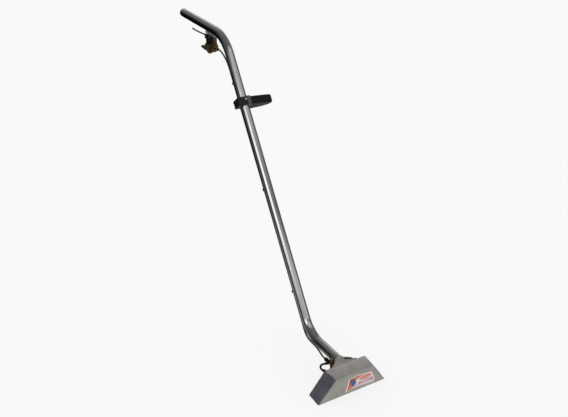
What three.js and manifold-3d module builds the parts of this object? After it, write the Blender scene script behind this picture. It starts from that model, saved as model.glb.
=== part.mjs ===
// A hot-water extraction wand for cleaning carpets: a bent steel vacuum tube with a welded floor head,
// a trigger valve under the hand end, a solution line to two spray jets, and a front grip.
// Millimetres. +Z up, the head's front faces -Y, the hand end points to +Y.
// The origin is the middle of the head's front lip, on the floor.
import * as THREE from 'three';
import { mergeVertices } from 'three/addons/utils/BufferGeometryUtils.js';
import Module from 'manifold-3d';

const wasm = await Module();
wasm.setup();

// ---------------------------------------------------------------- driving dimensions

const GAP = 0.3; // clearance between pieces that touch or are welded together

const HEAD_WIDTH = 254; // floor face, along the front edge
const HEAD_BACK_WIDTH = 248; // floor face, along the back edge
const HEAD_DEPTH = 58;
const HEAD_HEIGHT = 78; // up to the crease between the front and top plates
const CREASE_WIDTH = 140;
const CREASE_LEAD = 12.5; // how far the crease stands ahead of the floor edge
const TOP_BACK = { halfWidth: 76, y: 15, z: 81 }; // back edge of the top plate
const SHEET = 2; // thickness of the head's sheet steel
const SLOT_WIDTH = 11; // vacuum slot between the front plate and the baffle

const TUBE_OD = 31.8;
const TUBE_WALL = 1.5;
const LOWER_CORNER = { y: 213.2, z: 74.75 }; // where the lower and middle runs would meet
const LOWER_TILT = THREE.MathUtils.degToRad(2.4);
const MIDDLE_TILT = THREE.MathUtils.degToRad(57.9);
const HANDLE_TILT = THREE.MathUtils.degToRad(7.7);
const MIDDLE_LENGTH = 1071.3; // corner to corner
const HANDLE_LENGTH = 362; // upper corner to the open end
const LOWER_BEND_RADIUS = 106;
const UPPER_BEND_RADIUS = 150;
const TUBE_FOOT_Y = 36; // the tube's lower mouth, inside the neck
const HANDLE_JOINT = 78; // from the upper corner to the butt weld of the handle tube

const NECK_BACK_Y = 42;
const RELIEF_ENDS = [[11, 29.5], [28, 22.6]]; // x, y: the ends of the relief slot in the neck's top
const RELIEF_RADIUS = 4.2;

const LINE_OD = 6.4;
const LINE_BORE = 4.4;
const HOSE_OD = 6.4;
const HOSE_BORE = 3.2;

const STEM_Y = 911; // axis of the valve stem, which is upright
const TRIGGER_PIVOT = { y: 925, z: 969 };
const BARREL_X = 26.2; // upright strainer barrel beside the tube's foot
const BARREL_Y = 48;
const GRIP_ALONG = 248; // from the upper corner down the middle run to the grip

// ---------------------------------------------------------------- materials

const steel = { color: 0xb9b7b2, roughness: 0.12, metalness: 1 };
const satinSteel = { color: 0xa9a6a0, roughness: 0.38, metalness: 1 };
const darkSteel = { color: 0x5c5c5e, roughness: 0.35, metalness: 1 };
const brass = { color: 0x9a7b3f, roughness: 0.35, metalness: 1 };
const blackPlastic = { color: 0x1b1c1e, roughness: 0.42, metalness: 0 };
const blackRubber = { color: 0x121212, roughness: 0.7, metalness: 0 };
const stickerWhite = { color: 0xe4e2e0, roughness: 0.3, metalness: 0 };

// ---------------------------------------------------------------- solids

// A closed geometry as a solid for joining and cutting.
function solid(geometry) {
  const bare = geometry.clone();
  bare.deleteAttribute('normal');
  bare.deleteAttribute('uv');
  const merged = mergeVertices(bare, 1e-4);
  const vertProperties = new Float32Array(merged.attributes.position.array);
  const triVerts = new Uint32Array(merged.index.array);
  return new wasm.Manifold(new wasm.Mesh({ numProp: 3, vertProperties, triVerts }));
}

function geometryOf(manifold) {
  const mesh = manifold.getMesh();
  const geometry = new THREE.BufferGeometry();
  geometry.setAttribute('position', new THREE.BufferAttribute(new Float32Array(mesh.vertProperties), 3));
  geometry.setIndex(new THREE.BufferAttribute(new Uint32Array(mesh.triVerts), 1));
  return geometry;
}

function cut(geometry, ...tools) {
  let body = solid(geometry);
  for (const tool of tools) body = body.subtract(solid(tool));
  return geometryOf(body);
}

function join(geometry, ...others) {
  let body = solid(geometry);
  for (const other of others) body = body.add(solid(other));
  return geometryOf(body);
}

function common(geometry, ...others) {
  let body = solid(geometry);
  for (const other of others) body = body.intersect(solid(other));
  return geometryOf(body);
}

function node(name, geometry, look) {
  const mesh = new THREE.Mesh(geometry, new THREE.MeshStandardMaterial(look));
  mesh.name = name;
  return mesh;
}

// ---------------------------------------------------------------- shapes

// A box given by its lowest and highest corners.
function boxBetween(low, high) {
  const box = new THREE.BoxGeometry(high[0] - low[0], high[1] - low[1], high[2] - low[2]);
  return box.translate((low[0] + high[0]) / 2, (low[1] + high[1]) / 2, (low[2] + high[2]) / 2);
}

const AXES = {
  x: new THREE.Vector3(1, 0, 0),
  y: new THREE.Vector3(0, 1, 0),
  z: new THREE.Vector3(0, 0, 1),
};

// A cylinder from one point to another.
function rod(from, to, radius, sides = 16, endRadius = radius) {
  const start = new THREE.Vector3(...from);
  const run = new THREE.Vector3(...to).sub(start);
  const cylinder = new THREE.CylinderGeometry(endRadius, radius, run.length(), sides);
  const turn = new THREE.Quaternion().setFromUnitVectors(AXES.y, run.clone().normalize());
  cylinder.applyQuaternion(turn);
  return cylinder.translate(start.x + run.x / 2, start.y + run.y / 2, start.z + run.z / 2);
}

// A turned piece: [radius, distance along the axis] pairs that start and end on the axis, or, for a ring,
// close on themselves. The axis starts at origin and points along direction.
function turned(profile, origin, direction, sides = 20) {
  const points = profile.map(([radius, along]) => new THREE.Vector2(radius, along));
  const lathe = new THREE.LatheGeometry(points, sides);
  lathe.applyQuaternion(new THREE.Quaternion().setFromUnitVectors(AXES.y, direction));
  return lathe.translate(...origin);
}

function ringProfile(inner, outer, from, to) {
  return [[inner, from], [outer, from], [outer, to], [inner, to], [inner, from]];
}

// A hexagonal bar along direction, across its flats, with a bore.
function hexNut(origin, direction, flats, length, boreRadius) {
  const circumradius = flats / Math.sqrt(3);
  const nut = new THREE.Shape();
  for (let corner = 0; corner < 6; corner += 1) {
    const angle = (corner * Math.PI) / 3;
    const place = [circumradius * Math.cos(angle), circumradius * Math.sin(angle)];
    if (corner === 0) nut.moveTo(...place);
    else nut.lineTo(...place);
  }
  if (boreRadius > 0) nut.holes.push(new THREE.Path().absarc(0, 0, boreRadius, 0, 2 * Math.PI));
  const bar = new THREE.ExtrudeGeometry(nut, { depth: length, bevelEnabled: false, curveSegments: 8 });
  bar.applyQuaternion(new THREE.Quaternion().setFromUnitVectors(AXES.z, direction));
  return bar.translate(...origin);
}

// A side outline of [y, z] points made into a bar from x = -halfWidth to halfWidth.
function sideProfile(points, halfWidth, middle = 0) {
  const outline = new THREE.Shape(points.map(([y, z]) => new THREE.Vector2(y, z)));
  const bar = new THREE.ExtrudeGeometry(outline, { depth: 2 * halfWidth, bevelEnabled: false });
  bar.applyMatrix4(new THREE.Matrix4().makeBasis(AXES.y, AXES.z, AXES.x));
  return bar.translate(middle - halfWidth, 0, 0);
}

// A solid with six four-cornered faces: its floor corners and its top corners, each going round the same way,
// anticlockwise seen from above.
function sixFaced(floor, top) {
  const corners = [...floor, ...top].flat();
  const index = [0, 2, 1, 0, 3, 2, 4, 5, 6, 4, 6, 7];
  for (let side = 0; side < 4; side += 1) {
    const next = (side + 1) % 4;
    index.push(side, next, next + 4, side, next + 4, side + 4);
  }
  const geometry = new THREE.BufferGeometry();
  geometry.setAttribute('position', new THREE.Float32BufferAttribute(corners, 3));
  geometry.setIndex(index);
  return geometry;
}

// ---------------------------------------------------------------- tubes along a path

// A path through stations, each a point and a direction. An extrusion along it takes one step from a station
// to the next, so a straight run needs only two.
class StationPath extends THREE.Curve {
  constructor(stations) {
    super();
    this.stations = stations;
    this.steps = stations.length - 1;
  }

  getPoint(t, target = new THREE.Vector3()) {
    const place = Math.min(t * this.steps, this.steps - 1e-9);
    const before = Math.floor(place);
    return target.lerpVectors(this.stations[before].point, this.stations[before + 1].point, place - before);
  }

  getPointAt(u, target) {
    return this.getPoint(u, target);
  }

  getTangentAt(u, target = new THREE.Vector3()) {
    return target.copy(this.stations[Math.round(u * this.steps)].direction);
  }
}

function pipe(stations, outerRadius, boreRadius, halfSides) {
  const section = new THREE.Shape().absarc(0, 0, outerRadius, 0, 2 * Math.PI);
  if (boreRadius > 0) section.holes.push(new THREE.Path().absarc(0, 0, boreRadius, 0, 2 * Math.PI));
  const extrudePath = new StationPath(stations);
  return new THREE.ExtrudeGeometry(section, { extrudePath, steps: extrudePath.steps, curveSegments: halfSides });
}

// Stations along straight runs between corner points, each inner corner rounded to its own radius.
function roundedStations(corners, radii, bendSteps) {
  const stations = [];
  const heading = (from, to) => to.clone().sub(from).normalize();
  stations.push({ point: corners[0], direction: heading(corners[0], corners[1]) });
  for (let i = 1; i < corners.length - 1; i += 1) {
    const before = heading(corners[i - 1], corners[i]);
    const after = heading(corners[i], corners[i + 1]);
    const turn = before.angleTo(after);
    const tangentLength = radii[i - 1] * Math.tan(turn / 2);
    const start = corners[i].clone().addScaledVector(before, -tangentLength);
    const inward = after.clone().addScaledVector(before, -before.dot(after)).normalize();
    const centre = start.clone().addScaledVector(inward, radii[i - 1]);
    for (let step = 0; step <= bendSteps; step += 1) {
      const angle = (turn * step) / bendSteps;
      const point = centre.clone();
      point.addScaledVector(inward, -radii[i - 1] * Math.cos(angle));
      point.addScaledVector(before, radii[i - 1] * Math.sin(angle));
      const direction = before.clone().multiplyScalar(Math.cos(angle)).addScaledVector(inward, Math.sin(angle));
      stations.push({ point, direction });
    }
  }
  const last = corners.length - 1;
  stations.push({ point: corners[last], direction: heading(corners[last - 1], corners[last]) });
  return stations;
}

// Stations along a cubic Bezier curve.
function bezierStations(points, steps) {
  const curve = new THREE.CubicBezierCurve3(...points.map((p) => new THREE.Vector3(...p)));
  const stations = [];
  for (let step = 0; step <= steps; step += 1) {
    stations.push({ point: curve.getPoint(step / steps), direction: curve.getTangent(step / steps) });
  }
  return stations;
}

// ---------------------------------------------------------------- the vacuum tube's centre line

function inPlane(y, z) {
  return new THREE.Vector3(0, y, z);
}

function uphill(tilt) {
  return new THREE.Vector3(0, Math.cos(tilt), Math.sin(tilt));
}

const lowerCorner = inPlane(LOWER_CORNER.y, LOWER_CORNER.z);
const upperCorner = lowerCorner.clone().addScaledVector(uphill(MIDDLE_TILT), MIDDLE_LENGTH);
const handleEnd = upperCorner.clone().addScaledVector(uphill(HANDLE_TILT), HANDLE_LENGTH);
const handleJoint = upperCorner.clone().addScaledVector(uphill(HANDLE_TILT), HANDLE_JOINT);
const footReach = (LOWER_CORNER.y - TUBE_FOOT_Y) / Math.cos(LOWER_TILT);
const tubeFoot = lowerCorner.clone().addScaledVector(uphill(LOWER_TILT), -footReach);
const tubeStations = roundedStations(
  [handleJoint, upperCorner, lowerCorner, tubeFoot],
  [UPPER_BEND_RADIUS, LOWER_BEND_RADIUS],
  8,
);

// The point of the lower run above a given y.
function lowerRunPoint(y) {
  return inPlane(y, LOWER_CORNER.z - (LOWER_CORNER.y - y) * Math.tan(LOWER_TILT));
}

function tubeClearance() {
  return pipe(tubeStations, TUBE_OD / 2 + GAP, 0, 12);
}

function vacuumTube() {
  const bore = TUBE_OD / 2 - TUBE_WALL;
  const start = handleJoint.clone().addScaledVector(uphill(HANDLE_TILT), GAP);
  const handleStations = [
    { point: handleEnd, direction: uphill(HANDLE_TILT).negate() },
    { point: start, direction: uphill(HANDLE_TILT).negate() },
  ];
  return [
    node('main_tube', pipe(tubeStations, TUBE_OD / 2, bore, 12), steel),
    node('handle_tube', pipe(handleStations, TUBE_OD / 2, bore, 12), steel),
  ];
}

// ---------------------------------------------------------------- the floor head

const frontY = -HEAD_DEPTH / 2;
const backY = HEAD_DEPTH / 2;

// The ends slope, so moving them in by a margin moves their floor and top corners by different shares of it.
const FLOOR_END_SHARE = 1.25;
const TOP_END_SHARE = 0.55;
const END_SLOPE = 0.8; // an end plate's thickness for each unit across

// The head's outer shape, moved in on every side but the floor by a margin.
function headBlock(margin, floorMargin = 0) {
  const front = HEAD_WIDTH / 2 - margin * FLOOR_END_SHARE;
  const back = HEAD_BACK_WIDTH / 2 - margin * FLOOR_END_SHARE;
  const crease = CREASE_WIDTH / 2 - margin * TOP_END_SHARE;
  const topBack = TOP_BACK.halfWidth - margin * TOP_END_SHARE;
  const creaseY = frontY - CREASE_LEAD;
  return sixFaced(
    [
      [-front, frontY + margin, floorMargin],
      [front, frontY + margin, floorMargin],
      [back, backY - margin, floorMargin],
      [-back, backY - margin, floorMargin],
    ],
    [
      [-crease, creaseY + margin, HEAD_HEIGHT - margin],
      [crease, creaseY + margin, HEAD_HEIGHT - margin],
      [topBack, TOP_BACK.y - margin, TOP_BACK.z - margin],
      [-topBack, TOP_BACK.y - margin, TOP_BACK.z - margin],
    ],
  );
}

// A thick slab whose lower face holds two [y, z] points and that reaches to the right of the way from one to
// the other, so it cuts away everything outside a plate.
function slabBeyond([y0, z0], [y1, z1], inset) {
  const along = new THREE.Vector2(y1 - y0, z1 - z0).normalize();
  const out = new THREE.Vector2(along.y, -along.x);
  const place = (y, z, reach, depth) => [
    y + along.x * reach + out.x * depth,
    z + along.y * reach + out.y * depth,
  ];
  const reach = 60;
  const depth = 60;
  return sideProfile(
    [
      place(y0, z0, -reach, -inset),
      place(y0, z0, -reach, depth),
      place(y1, z1, reach, depth),
      place(y1, z1, reach, -inset),
    ],
    HEAD_WIDTH,
  );
}

const FRONT_EDGE = [[frontY, 0], [frontY - CREASE_LEAD, HEAD_HEIGHT]];
const TOP_EDGE = [[frontY - CREASE_LEAD, HEAD_HEIGHT], [TOP_BACK.y, TOP_BACK.z]];
const BACK_EDGE = [[TOP_BACK.y, TOP_BACK.z], [backY, 0]];

function plateBeyond(edge, inset) {
  return slabBeyond(edge[1], edge[0], inset);
}

function neckBlock(margin, backReach) {
  const y = NECK_BACK_Y + backReach;
  const mouth = 60 - margin;
  const tip = 19 - margin;
  return sixFaced(
    [
      [-mouth, 10, 38 + margin],
      [mouth, 10, 38 + margin],
      [tip, y, 48 + margin],
      [-tip, y, 48 + margin],
    ],
    [
      [-mouth, 10, 80 - margin],
      [mouth, 10, 80 - margin],
      [tip, y, 87 - margin],
      [-tip, y, 87 - margin],
    ],
  );
}

// A copy a little larger in y and z, so that it cuts cleanly through faces it would otherwise share.
function slightlyTaller(geometry) {
  const middle = HEAD_HEIGHT / 2;
  return geometry.clone().translate(0, 0, -middle).scale(1, 1.004, 1.004).translate(0, 0, middle);
}

function floorHead() {
  const wholeBlock = headBlock(0);
  const neckHollow = neckBlock(SHEET, -SHEET - 1);

  const frontPlate = common(wholeBlock, plateBeyond(FRONT_EDGE, SHEET));
  const behindFront = cut(wholeBlock, plateBeyond(FRONT_EDGE, SHEET + GAP));
  const topPlate = common(behindFront, plateBeyond(TOP_EDGE, SHEET));
  const belowTop = cut(behindFront, plateBeyond(TOP_EDGE, SHEET + GAP));
  const backSheet = common(belowTop, plateBeyond(BACK_EDGE, SHEET));
  const backPlate = cut(backSheet, neckHollow);
  const inside = cut(belowTop, plateBeyond(BACK_EDGE, SHEET + GAP));

  const shift = SHEET / END_SLOPE;
  const leftEnd = cut(inside, slightlyTaller(inside).translate(shift, 0, 0));
  const rightEnd = cut(inside, slightlyTaller(inside).translate(-shift, 0, 0));
  const room = shift + GAP / END_SLOPE;
  const between = common(
    inside,
    inside.clone().translate(room, 0, 0),
    inside.clone().translate(-room, 0, 0),
  );

  const baffleSheet = sideProfile(
    [
      [frontY + SLOT_WIDTH + SHEET, 1],
      [frontY + SLOT_WIDTH + 2 * SHEET, 1],
      [TOP_BACK.y + 6, 36.5],
      [TOP_BACK.y + 6, 39],
    ],
    HEAD_WIDTH,
  );
  const baffle = common(baffleSheet, between);

  const [reliefStart, reliefEnd] = RELIEF_ENDS.map(([x, y]) => new THREE.Vector2(x, y));
  const reliefRun = reliefEnd.clone().sub(reliefStart);
  const reliefSlot = join(
    rod([...reliefStart, 70], [...reliefStart, 100], RELIEF_RADIUS),
    rod([...reliefEnd, 70], [...reliefEnd, 100], RELIEF_RADIUS),
    boxBetween([0, -RELIEF_RADIUS, 70], [reliefRun.length(), RELIEF_RADIUS, 100])
      .rotateZ(reliefRun.angle())
      .translate(reliefStart.x, reliefStart.y, 0),
  );
  const outsideHead = [headBlock(-GAP), boxBetween([-130, -60, 30], [130, 9, 110])];
  const neck = cut(
    neckBlock(0, 0),
    ...outsideHead,
    neckHollow,
    tubeClearance(),
    reliefSlot,
  );

  const collarBack = lowerRunPoint(NECK_BACK_Y + GAP + 2.1);
  const collarRadius = TUBE_OD / 2 + GAP;
  const collar = turned(
    ringProfile(collarRadius, collarRadius + 2.6, 0, 4.5),
    collarBack.toArray(),
    uphill(LOWER_TILT),
    24,
  );

  return [
    node('head_front_plate', frontPlate, satinSteel),
    node('head_top_plate', topPlate, satinSteel),
    node('head_back_plate', backPlate, satinSteel),
    node('head_left_end_plate', leftEnd, satinSteel),
    node('head_right_end_plate', rightEnd, satinSteel),
    node('head_slot_baffle', baffle, satinSteel),
    node('head_neck', neck, satinSteel),
    node('tube_collar', collar, satinSteel),
    frontLabel(),
  ];
}

// A blank sticker on the front plate: a tapered pennant with a curved lower edge.
function frontLabel() {
  const outline = new THREE.Shape();
  outline.moveTo(-29, 9);
  outline.quadraticCurveTo(-24, 35, -23, 60);
  outline.lineTo(2, 67);
  outline.lineTo(63, 59);
  outline.quadraticCurveTo(76, 38, 82, 20);
  outline.lineTo(78, 8);
  outline.quadraticCurveTo(20, 20, -29, 9);
  const sheet = new THREE.ExtrudeGeometry(outline, { depth: 0.4, bevelEnabled: false, curveSegments: 8 });
  const lean = Math.atan2(CREASE_LEAD, HEAD_HEIGHT);
  sheet.rotateX(Math.PI / 2);
  sheet.rotateX(lean);
  return node('front_label', sheet.translate(0, frontY - GAP, 0), stickerWhite);
}

// ---------------------------------------------------------------- the solution line

// A station beside the vacuum tube: off its axis by a distance, turned from the underside towards -X.
function besideTube(station, distance, aroundDegrees) {
  const around = THREE.MathUtils.degToRad(aroundDegrees);
  const under = new THREE.Vector3().crossVectors(AXES.x, station.direction).normalize();
  const point = station.point.clone();
  point.addScaledVector(under, distance * Math.cos(around));
  point.addScaledVector(AXES.x, -distance * Math.sin(around));
  return point;
}

const LINE_STANDOFF = TUBE_OD / 2 + LINE_OD / 2 + 0.6;
const LINE_AROUND = 20; // degrees, along the middle run
const LINE_AROUND_STEP = 8; // more at each station of the lower bend, which brings the line to the tube's side
const OUTLET_END = [0, 848, 928];
const ADAPTER_FACE = [-26, 77, 63];

// The stations of the tube from the start of the middle run to the end of the lower bend.
function lineStations() {
  const down = uphill(MIDDLE_TILT).negate();
  const runStart = { point: upperCorner.clone().addScaledVector(down, 120), direction: down };
  const bendStations = tubeStations.slice(10, 19);
  const along = [runStart, ...bendStations].map((station, i) => ({
    point: besideTube(station, LINE_STANDOFF, i === 0 ? LINE_AROUND : LINE_AROUND + LINE_AROUND_STEP * (i - 1)),
    direction: station.direction,
  }));
  const first = along[0];
  const last = along[along.length - 1];
  const lead = first.point.clone().addScaledVector(first.direction, -42).toArray();
  const trail = last.point.clone().addScaledVector(last.direction, 34).toArray();
  const straight = 13; // of the line inside and just past each end fitting
  const [outletX, outletY, outletZ] = OUTLET_END;
  const outlet = { point: new THREE.Vector3(...OUTLET_END), direction: new THREE.Vector3(0, -1, 0) };
  const upper = bezierStations(
    [
      [outletX, outletY - straight, outletZ],
      [outletX, outletY - straight - 24, outletZ],
      lead,
      first.point.toArray(),
    ],
    8,
  ).slice(0, -1);
  const [endX, endY, endZ] = ADAPTER_FACE;
  const inlet = { point: new THREE.Vector3(...ADAPTER_FACE), direction: new THREE.Vector3(0, -1, 0) };
  const lower = bezierStations(
    [
      last.point.toArray(),
      trail,
      [endX, endY + straight + 22, endZ],
      [endX, endY + straight, endZ],
    ],
    6,
  ).slice(1);
  const straightened = along.map((station, i) => {
    const next = along[Math.min(i + 1, along.length - 1)].point;
    const previous = along[Math.max(i - 1, 0)].point;
    const chord = next.clone().sub(previous).normalize();
    const ends = i === 0 || i === 1 || i === along.length - 1;
    return { point: station.point, direction: ends ? station.direction : chord };
  });
  return [outlet, ...upper, ...straightened, ...lower, inlet];
}

function solutionLine() {
  const pieces = [node('solution_line', pipe(lineStations(), LINE_OD / 2, LINE_BORE / 2, 5), steel)];
  const saddlePlaces = [170, 560, 920];
  const down = uphill(MIDDLE_TILT).negate();
  saddlePlaces.forEach((along, i) => {
    const station = { point: upperCorner.clone().addScaledVector(down, along), direction: down };
    const middle = besideTube(station, LINE_STANDOFF - 0.8, LINE_AROUND);
    const block = new THREE.BoxGeometry(10.5, 9, 9);
    block.rotateY(THREE.MathUtils.degToRad(-LINE_AROUND));
    block.applyMatrix4(new THREE.Matrix4().makeBasis(
      AXES.x,
      down,
      new THREE.Vector3().crossVectors(AXES.x, down).normalize(),
    ));
    block.translate(middle.x, middle.y, middle.z);
    const lineMiddle = besideTube(station, LINE_STANDOFF, LINE_AROUND);
    const saddle = cut(
      block,
      rod(
        station.point.clone().addScaledVector(down, -20).toArray(),
        station.point.clone().addScaledVector(down, 20).toArray(),
        TUBE_OD / 2 + GAP,
        24,
      ),
      rod(
        lineMiddle.clone().addScaledVector(down, -20).toArray(),
        lineMiddle.clone().addScaledVector(down, 20).toArray(),
        LINE_OD / 2 + GAP,
        12,
      ),
    );
    pieces.push(node(`line_saddle_${i + 1}`, saddle, steel));
  });
  return pieces;
}

// ---------------------------------------------------------------- the trigger valve

const BODY_TOP = 941;
const BODY_BACK = 932;
const BODY_FRONT = 852;
const BONNET_TOP = 958;
const INLET_Z = 922;
const INLET_PORT_Z = 917; // a little lower than the nipple, so that it meets the chamber under the seat
const OUTLET_Z = 928;
const STEM_RADIUS = 3;
const PIN_RADIUS = 2.3;
const RUNNING_FIT = 0.08;
const POPPET_Z = 916.4;
const SEAT_Z = 921;
const EAR_INSIDE = 4.8; // half the slot the trigger swings in
const EAR_OUTSIDE = 9;

function valveBody() {
  const block = join(
    sideProfile(
      [
        [BODY_BACK, 912], [884, 912], [BODY_FRONT, 922],
        [BODY_FRONT, BODY_TOP], [BODY_BACK, BODY_TOP],
      ],
      9.5,
    ),
    turned([[0, 903.5], [6, 903.5], [11.8, 911], [11.8, 939], [0, 939]], [0, STEM_Y, 0], AXES.z, 24),
  );
  const chamber = turned(
    [
      [0, 908], [6.5, 908], [6.5, SEAT_Z], [3.8, SEAT_Z], [3.8, 925.5], [6, 925.5], [6, 934.5],
      [STEM_RADIUS + RUNNING_FIT, 934.5], [STEM_RADIUS + RUNNING_FIT, 937], [5.4, 937],
      [5.4, BODY_TOP + 5], [0, BODY_TOP + 5],
    ],
    [0, STEM_Y, 0],
    AXES.z,
    20,
  );
  const inletPort = rod([0, STEM_Y, INLET_PORT_Z], [0, BODY_BACK + 2, INLET_PORT_Z], 3);
  const outletPort = rod([0, STEM_Y, OUTLET_Z], [0, BODY_FRONT - 12, OUTLET_Z], 3.2);
  return cut(block, chamber, inletPort, outletPort);
}

function bonnetBlock() {
  const ear = (side) => {
    const faces = [side * EAR_INSIDE, side * EAR_OUTSIDE].sort((a, b) => a - b);
    return boxBetween([faces[0], 903, BONNET_TOP - 1], [faces[1], TRIGGER_PIVOT.y + 6, 975]);
  };
  const { y, z } = TRIGGER_PIVOT;
  return cut(
    join(
      boxBetween([-9.5, STEM_Y - 9.5, BODY_TOP + GAP], [9.5, STEM_Y + 9.5, BONNET_TOP]),
      ear(-1),
      ear(1),
    ),
    rod([0, STEM_Y, 930], [0, STEM_Y, 970], STEM_RADIUS + 0.4),
    rod([-20, y, z], [20, y, z], PIN_RADIUS + GAP),
  );
}

function inletNipple() {
  const face = BODY_BACK + GAP;
  return cut(
    join(
      hexNut([0, face, INLET_Z], AXES.y, 21, 12, 0),
      turned(
        [
          [0, 11], [6.2, 11], [6.2, 20], [8, 22.5], [8, 27], [6.2, 29.5], [6.2, 37], [5.2, 39],
          [5.2, 45], [0, 45],
        ],
        [0, face, INLET_Z],
        AXES.y,
        20,
      ),
    ),
    rod([0, face - 20, INLET_PORT_Z], [0, face + 8, INLET_PORT_Z], 3),
    rod([0, face + 6, INLET_Z], [0, face + 60, INLET_Z], 3.2),
  );
}

function triggerValve() {
  const handleFrame = new THREE.Group();
  handleFrame.position.copy(upperCorner).addScaledVector(uphill(HANDLE_TILT), 108);
  handleFrame.rotation.x = HANDLE_TILT;
  handleFrame.updateMatrixWorld();
  const strapUnderside = -22;
  const strapBar = boxBetween([-9, -47, strapUnderside], [9, 31, -12]);
  const strap = cut(strapBar.applyMatrix4(handleFrame.matrixWorld), tubeClearance(), handleTubeClearance());
  const aboveStrap = boxBetween([-30, -80, strapUnderside - GAP], [30, 80, 30]);
  aboveStrap.applyMatrix4(handleFrame.matrixWorld);
  const riser = cut(rod([0, 865, BODY_TOP + GAP], [0, 865, 990], 9, 20), aboveStrap);

  const pin = turned(
    [
      [0, -11.8], [3.6, -11.8], [3.6, -EAR_OUTSIDE - GAP], [PIN_RADIUS, -EAR_OUTSIDE - GAP],
      [PIN_RADIUS, 11], [0, 11],
    ],
    [0, TRIGGER_PIVOT.y, TRIGGER_PIVOT.z],
    AXES.x,
    16,
  );

  const forward = AXES.y.clone().negate();
  const outletNut = cut(
    hexNut([0, BODY_FRONT - GAP, OUTLET_Z], forward, 15, 13, LINE_OD / 2 + GAP),
    rod([0, BODY_FRONT, OUTLET_Z], [0, BODY_FRONT - 6.5, OUTLET_Z], 5.2),
  );
  const ferrule = turned(
    ringProfile(LINE_OD / 2 + GAP, 4.9, 0, 1.8),
    [0, BODY_FRONT - 0.5, OUTLET_Z],
    forward,
    16,
  );
  const oRing = turned(circleProfile(4.3, 0.8, 939), [0, STEM_Y, 0], AXES.z, 20);

  return [
    node('valve_strap', strap, satinSteel),
    node('valve_riser', riser, brass),
    node('valve_body', valveBody(), brass),
    node('valve_bonnet', bonnetBlock(), blackPlastic),
    node('trigger_pin', pin, steel),
    node('inlet_nipple', inletNipple(), brass),
    node('outlet_nut', outletNut, brass),
    node('outlet_ferrule', ferrule, brass),
    node('stem_o_ring', oRing, blackRubber),
    ...triggerAndStem(),
  ];
}

function handleTubeClearance() {
  return rod(
    handleJoint.clone().addScaledVector(uphill(HANDLE_TILT), -1).toArray(),
    handleEnd.toArray(),
    TUBE_OD / 2 + GAP,
    24,
  );
}

function circleProfile(ringRadius, wireRadius, height) {
  const points = [];
  for (let i = 0; i <= 8; i += 1) {
    const angle = (i * Math.PI) / 4;
    points.push([ringRadius + wireRadius * Math.cos(angle), height + wireRadius * Math.sin(angle)]);
  }
  points[8] = points[0];
  return points;
}

function triggerAndStem() {
  const { y, z } = TRIGGER_PIVOT;
  const padUnderside = z - 3;
  const arm = sideProfile(
    [
      [STEM_Y - 6, padUnderside + 0.4], [STEM_Y + 6, padUnderside - 0.4], [y - 4, z - 4.3],
      [y + 5, z - 4.2], [y + 53, z - 0.9], [y + 131, z + 7.4], [y + 137, z + 9.8],
      [y + 136, z + 12.6], [y + 129, z + 11.4], [y + 53, z + 3.4], [y + 5, z + 4],
      [y - 4, z + 4], [STEM_Y - 6, z + 1.8],
    ],
    EAR_INSIDE - 0.4,
  );
  const lever = cut(arm, rod([-20, y, z], [20, y, z], PIN_RADIUS + RUNNING_FIT));

  const head = padUnderside - 0.4;
  const flangeTop = POPPET_Z + 2.2;
  const stem = turned(
    [
      [0, POPPET_Z], [5.4, POPPET_Z], [5.4, flangeTop], [STEM_RADIUS, flangeTop], [STEM_RADIUS, head - 3.2],
      [4.4, head - 3.2], [4.4, head - 1.6], [2.6, head - 0.3], [0, head],
    ],
    [0, STEM_Y, 0],
    AXES.z,
    20,
  );
  const sealProfile = ringProfile(STEM_RADIUS + GAP, 5.3, flangeTop + GAP, SEAT_Z - GAP);
  const seal = turned(sealProfile, [0, STEM_Y, 0], AXES.z, 20);
  return [
    node('trigger_lever', lever, darkSteel),
    node('valve_stem', stem, steel),
    node('poppet_seal', seal, blackRubber),
    node('valve_spring', springCoil(4.4, 0.5, 908.8, POPPET_Z - 0.8, 4), steel),
  ];
}

// A coil spring about the stem's axis.
function springCoil(coilRadius, wireRadius, low, high, turns) {
  const steps = turns * 12;
  const stations = [];
  for (let i = 0; i <= steps; i += 1) {
    const angle = (2 * Math.PI * i * turns) / steps;
    const rise = (high - low) / (2 * Math.PI * turns);
    stations.push({
      point: new THREE.Vector3(
        coilRadius * Math.cos(angle),
        STEM_Y + coilRadius * Math.sin(angle),
        low + rise * angle,
      ),
      direction: new THREE.Vector3(
        -coilRadius * Math.sin(angle),
        coilRadius * Math.cos(angle),
        rise,
      ).normalize(),
    });
  }
  return pipe(stations, wireRadius, 0, 3);
}

// ---------------------------------------------------------------- the spray fittings behind the head

const MANIFOLD = { low: [-44, 41, 28], high: [44, 55, 42] };
const JET_X = 27.5;
const HOSE_START = [-35.4, 61.5, 63];
const HOSE_TURN = [-66, 52.5, 66.5]; // the outermost point of its loop

function hoseStations() {
  return [
    ...bezierStations([HOSE_START, [-49, 60.5, 66], [-63, 57.5, 71], HOSE_TURN], 8).slice(0, -1),
    ...bezierStations([HOSE_TURN, [-68, 47, 62.4], [-66, 44.9, 60.4], [-56.5, 46.2, 52.3]], 8),
  ];
}

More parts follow.
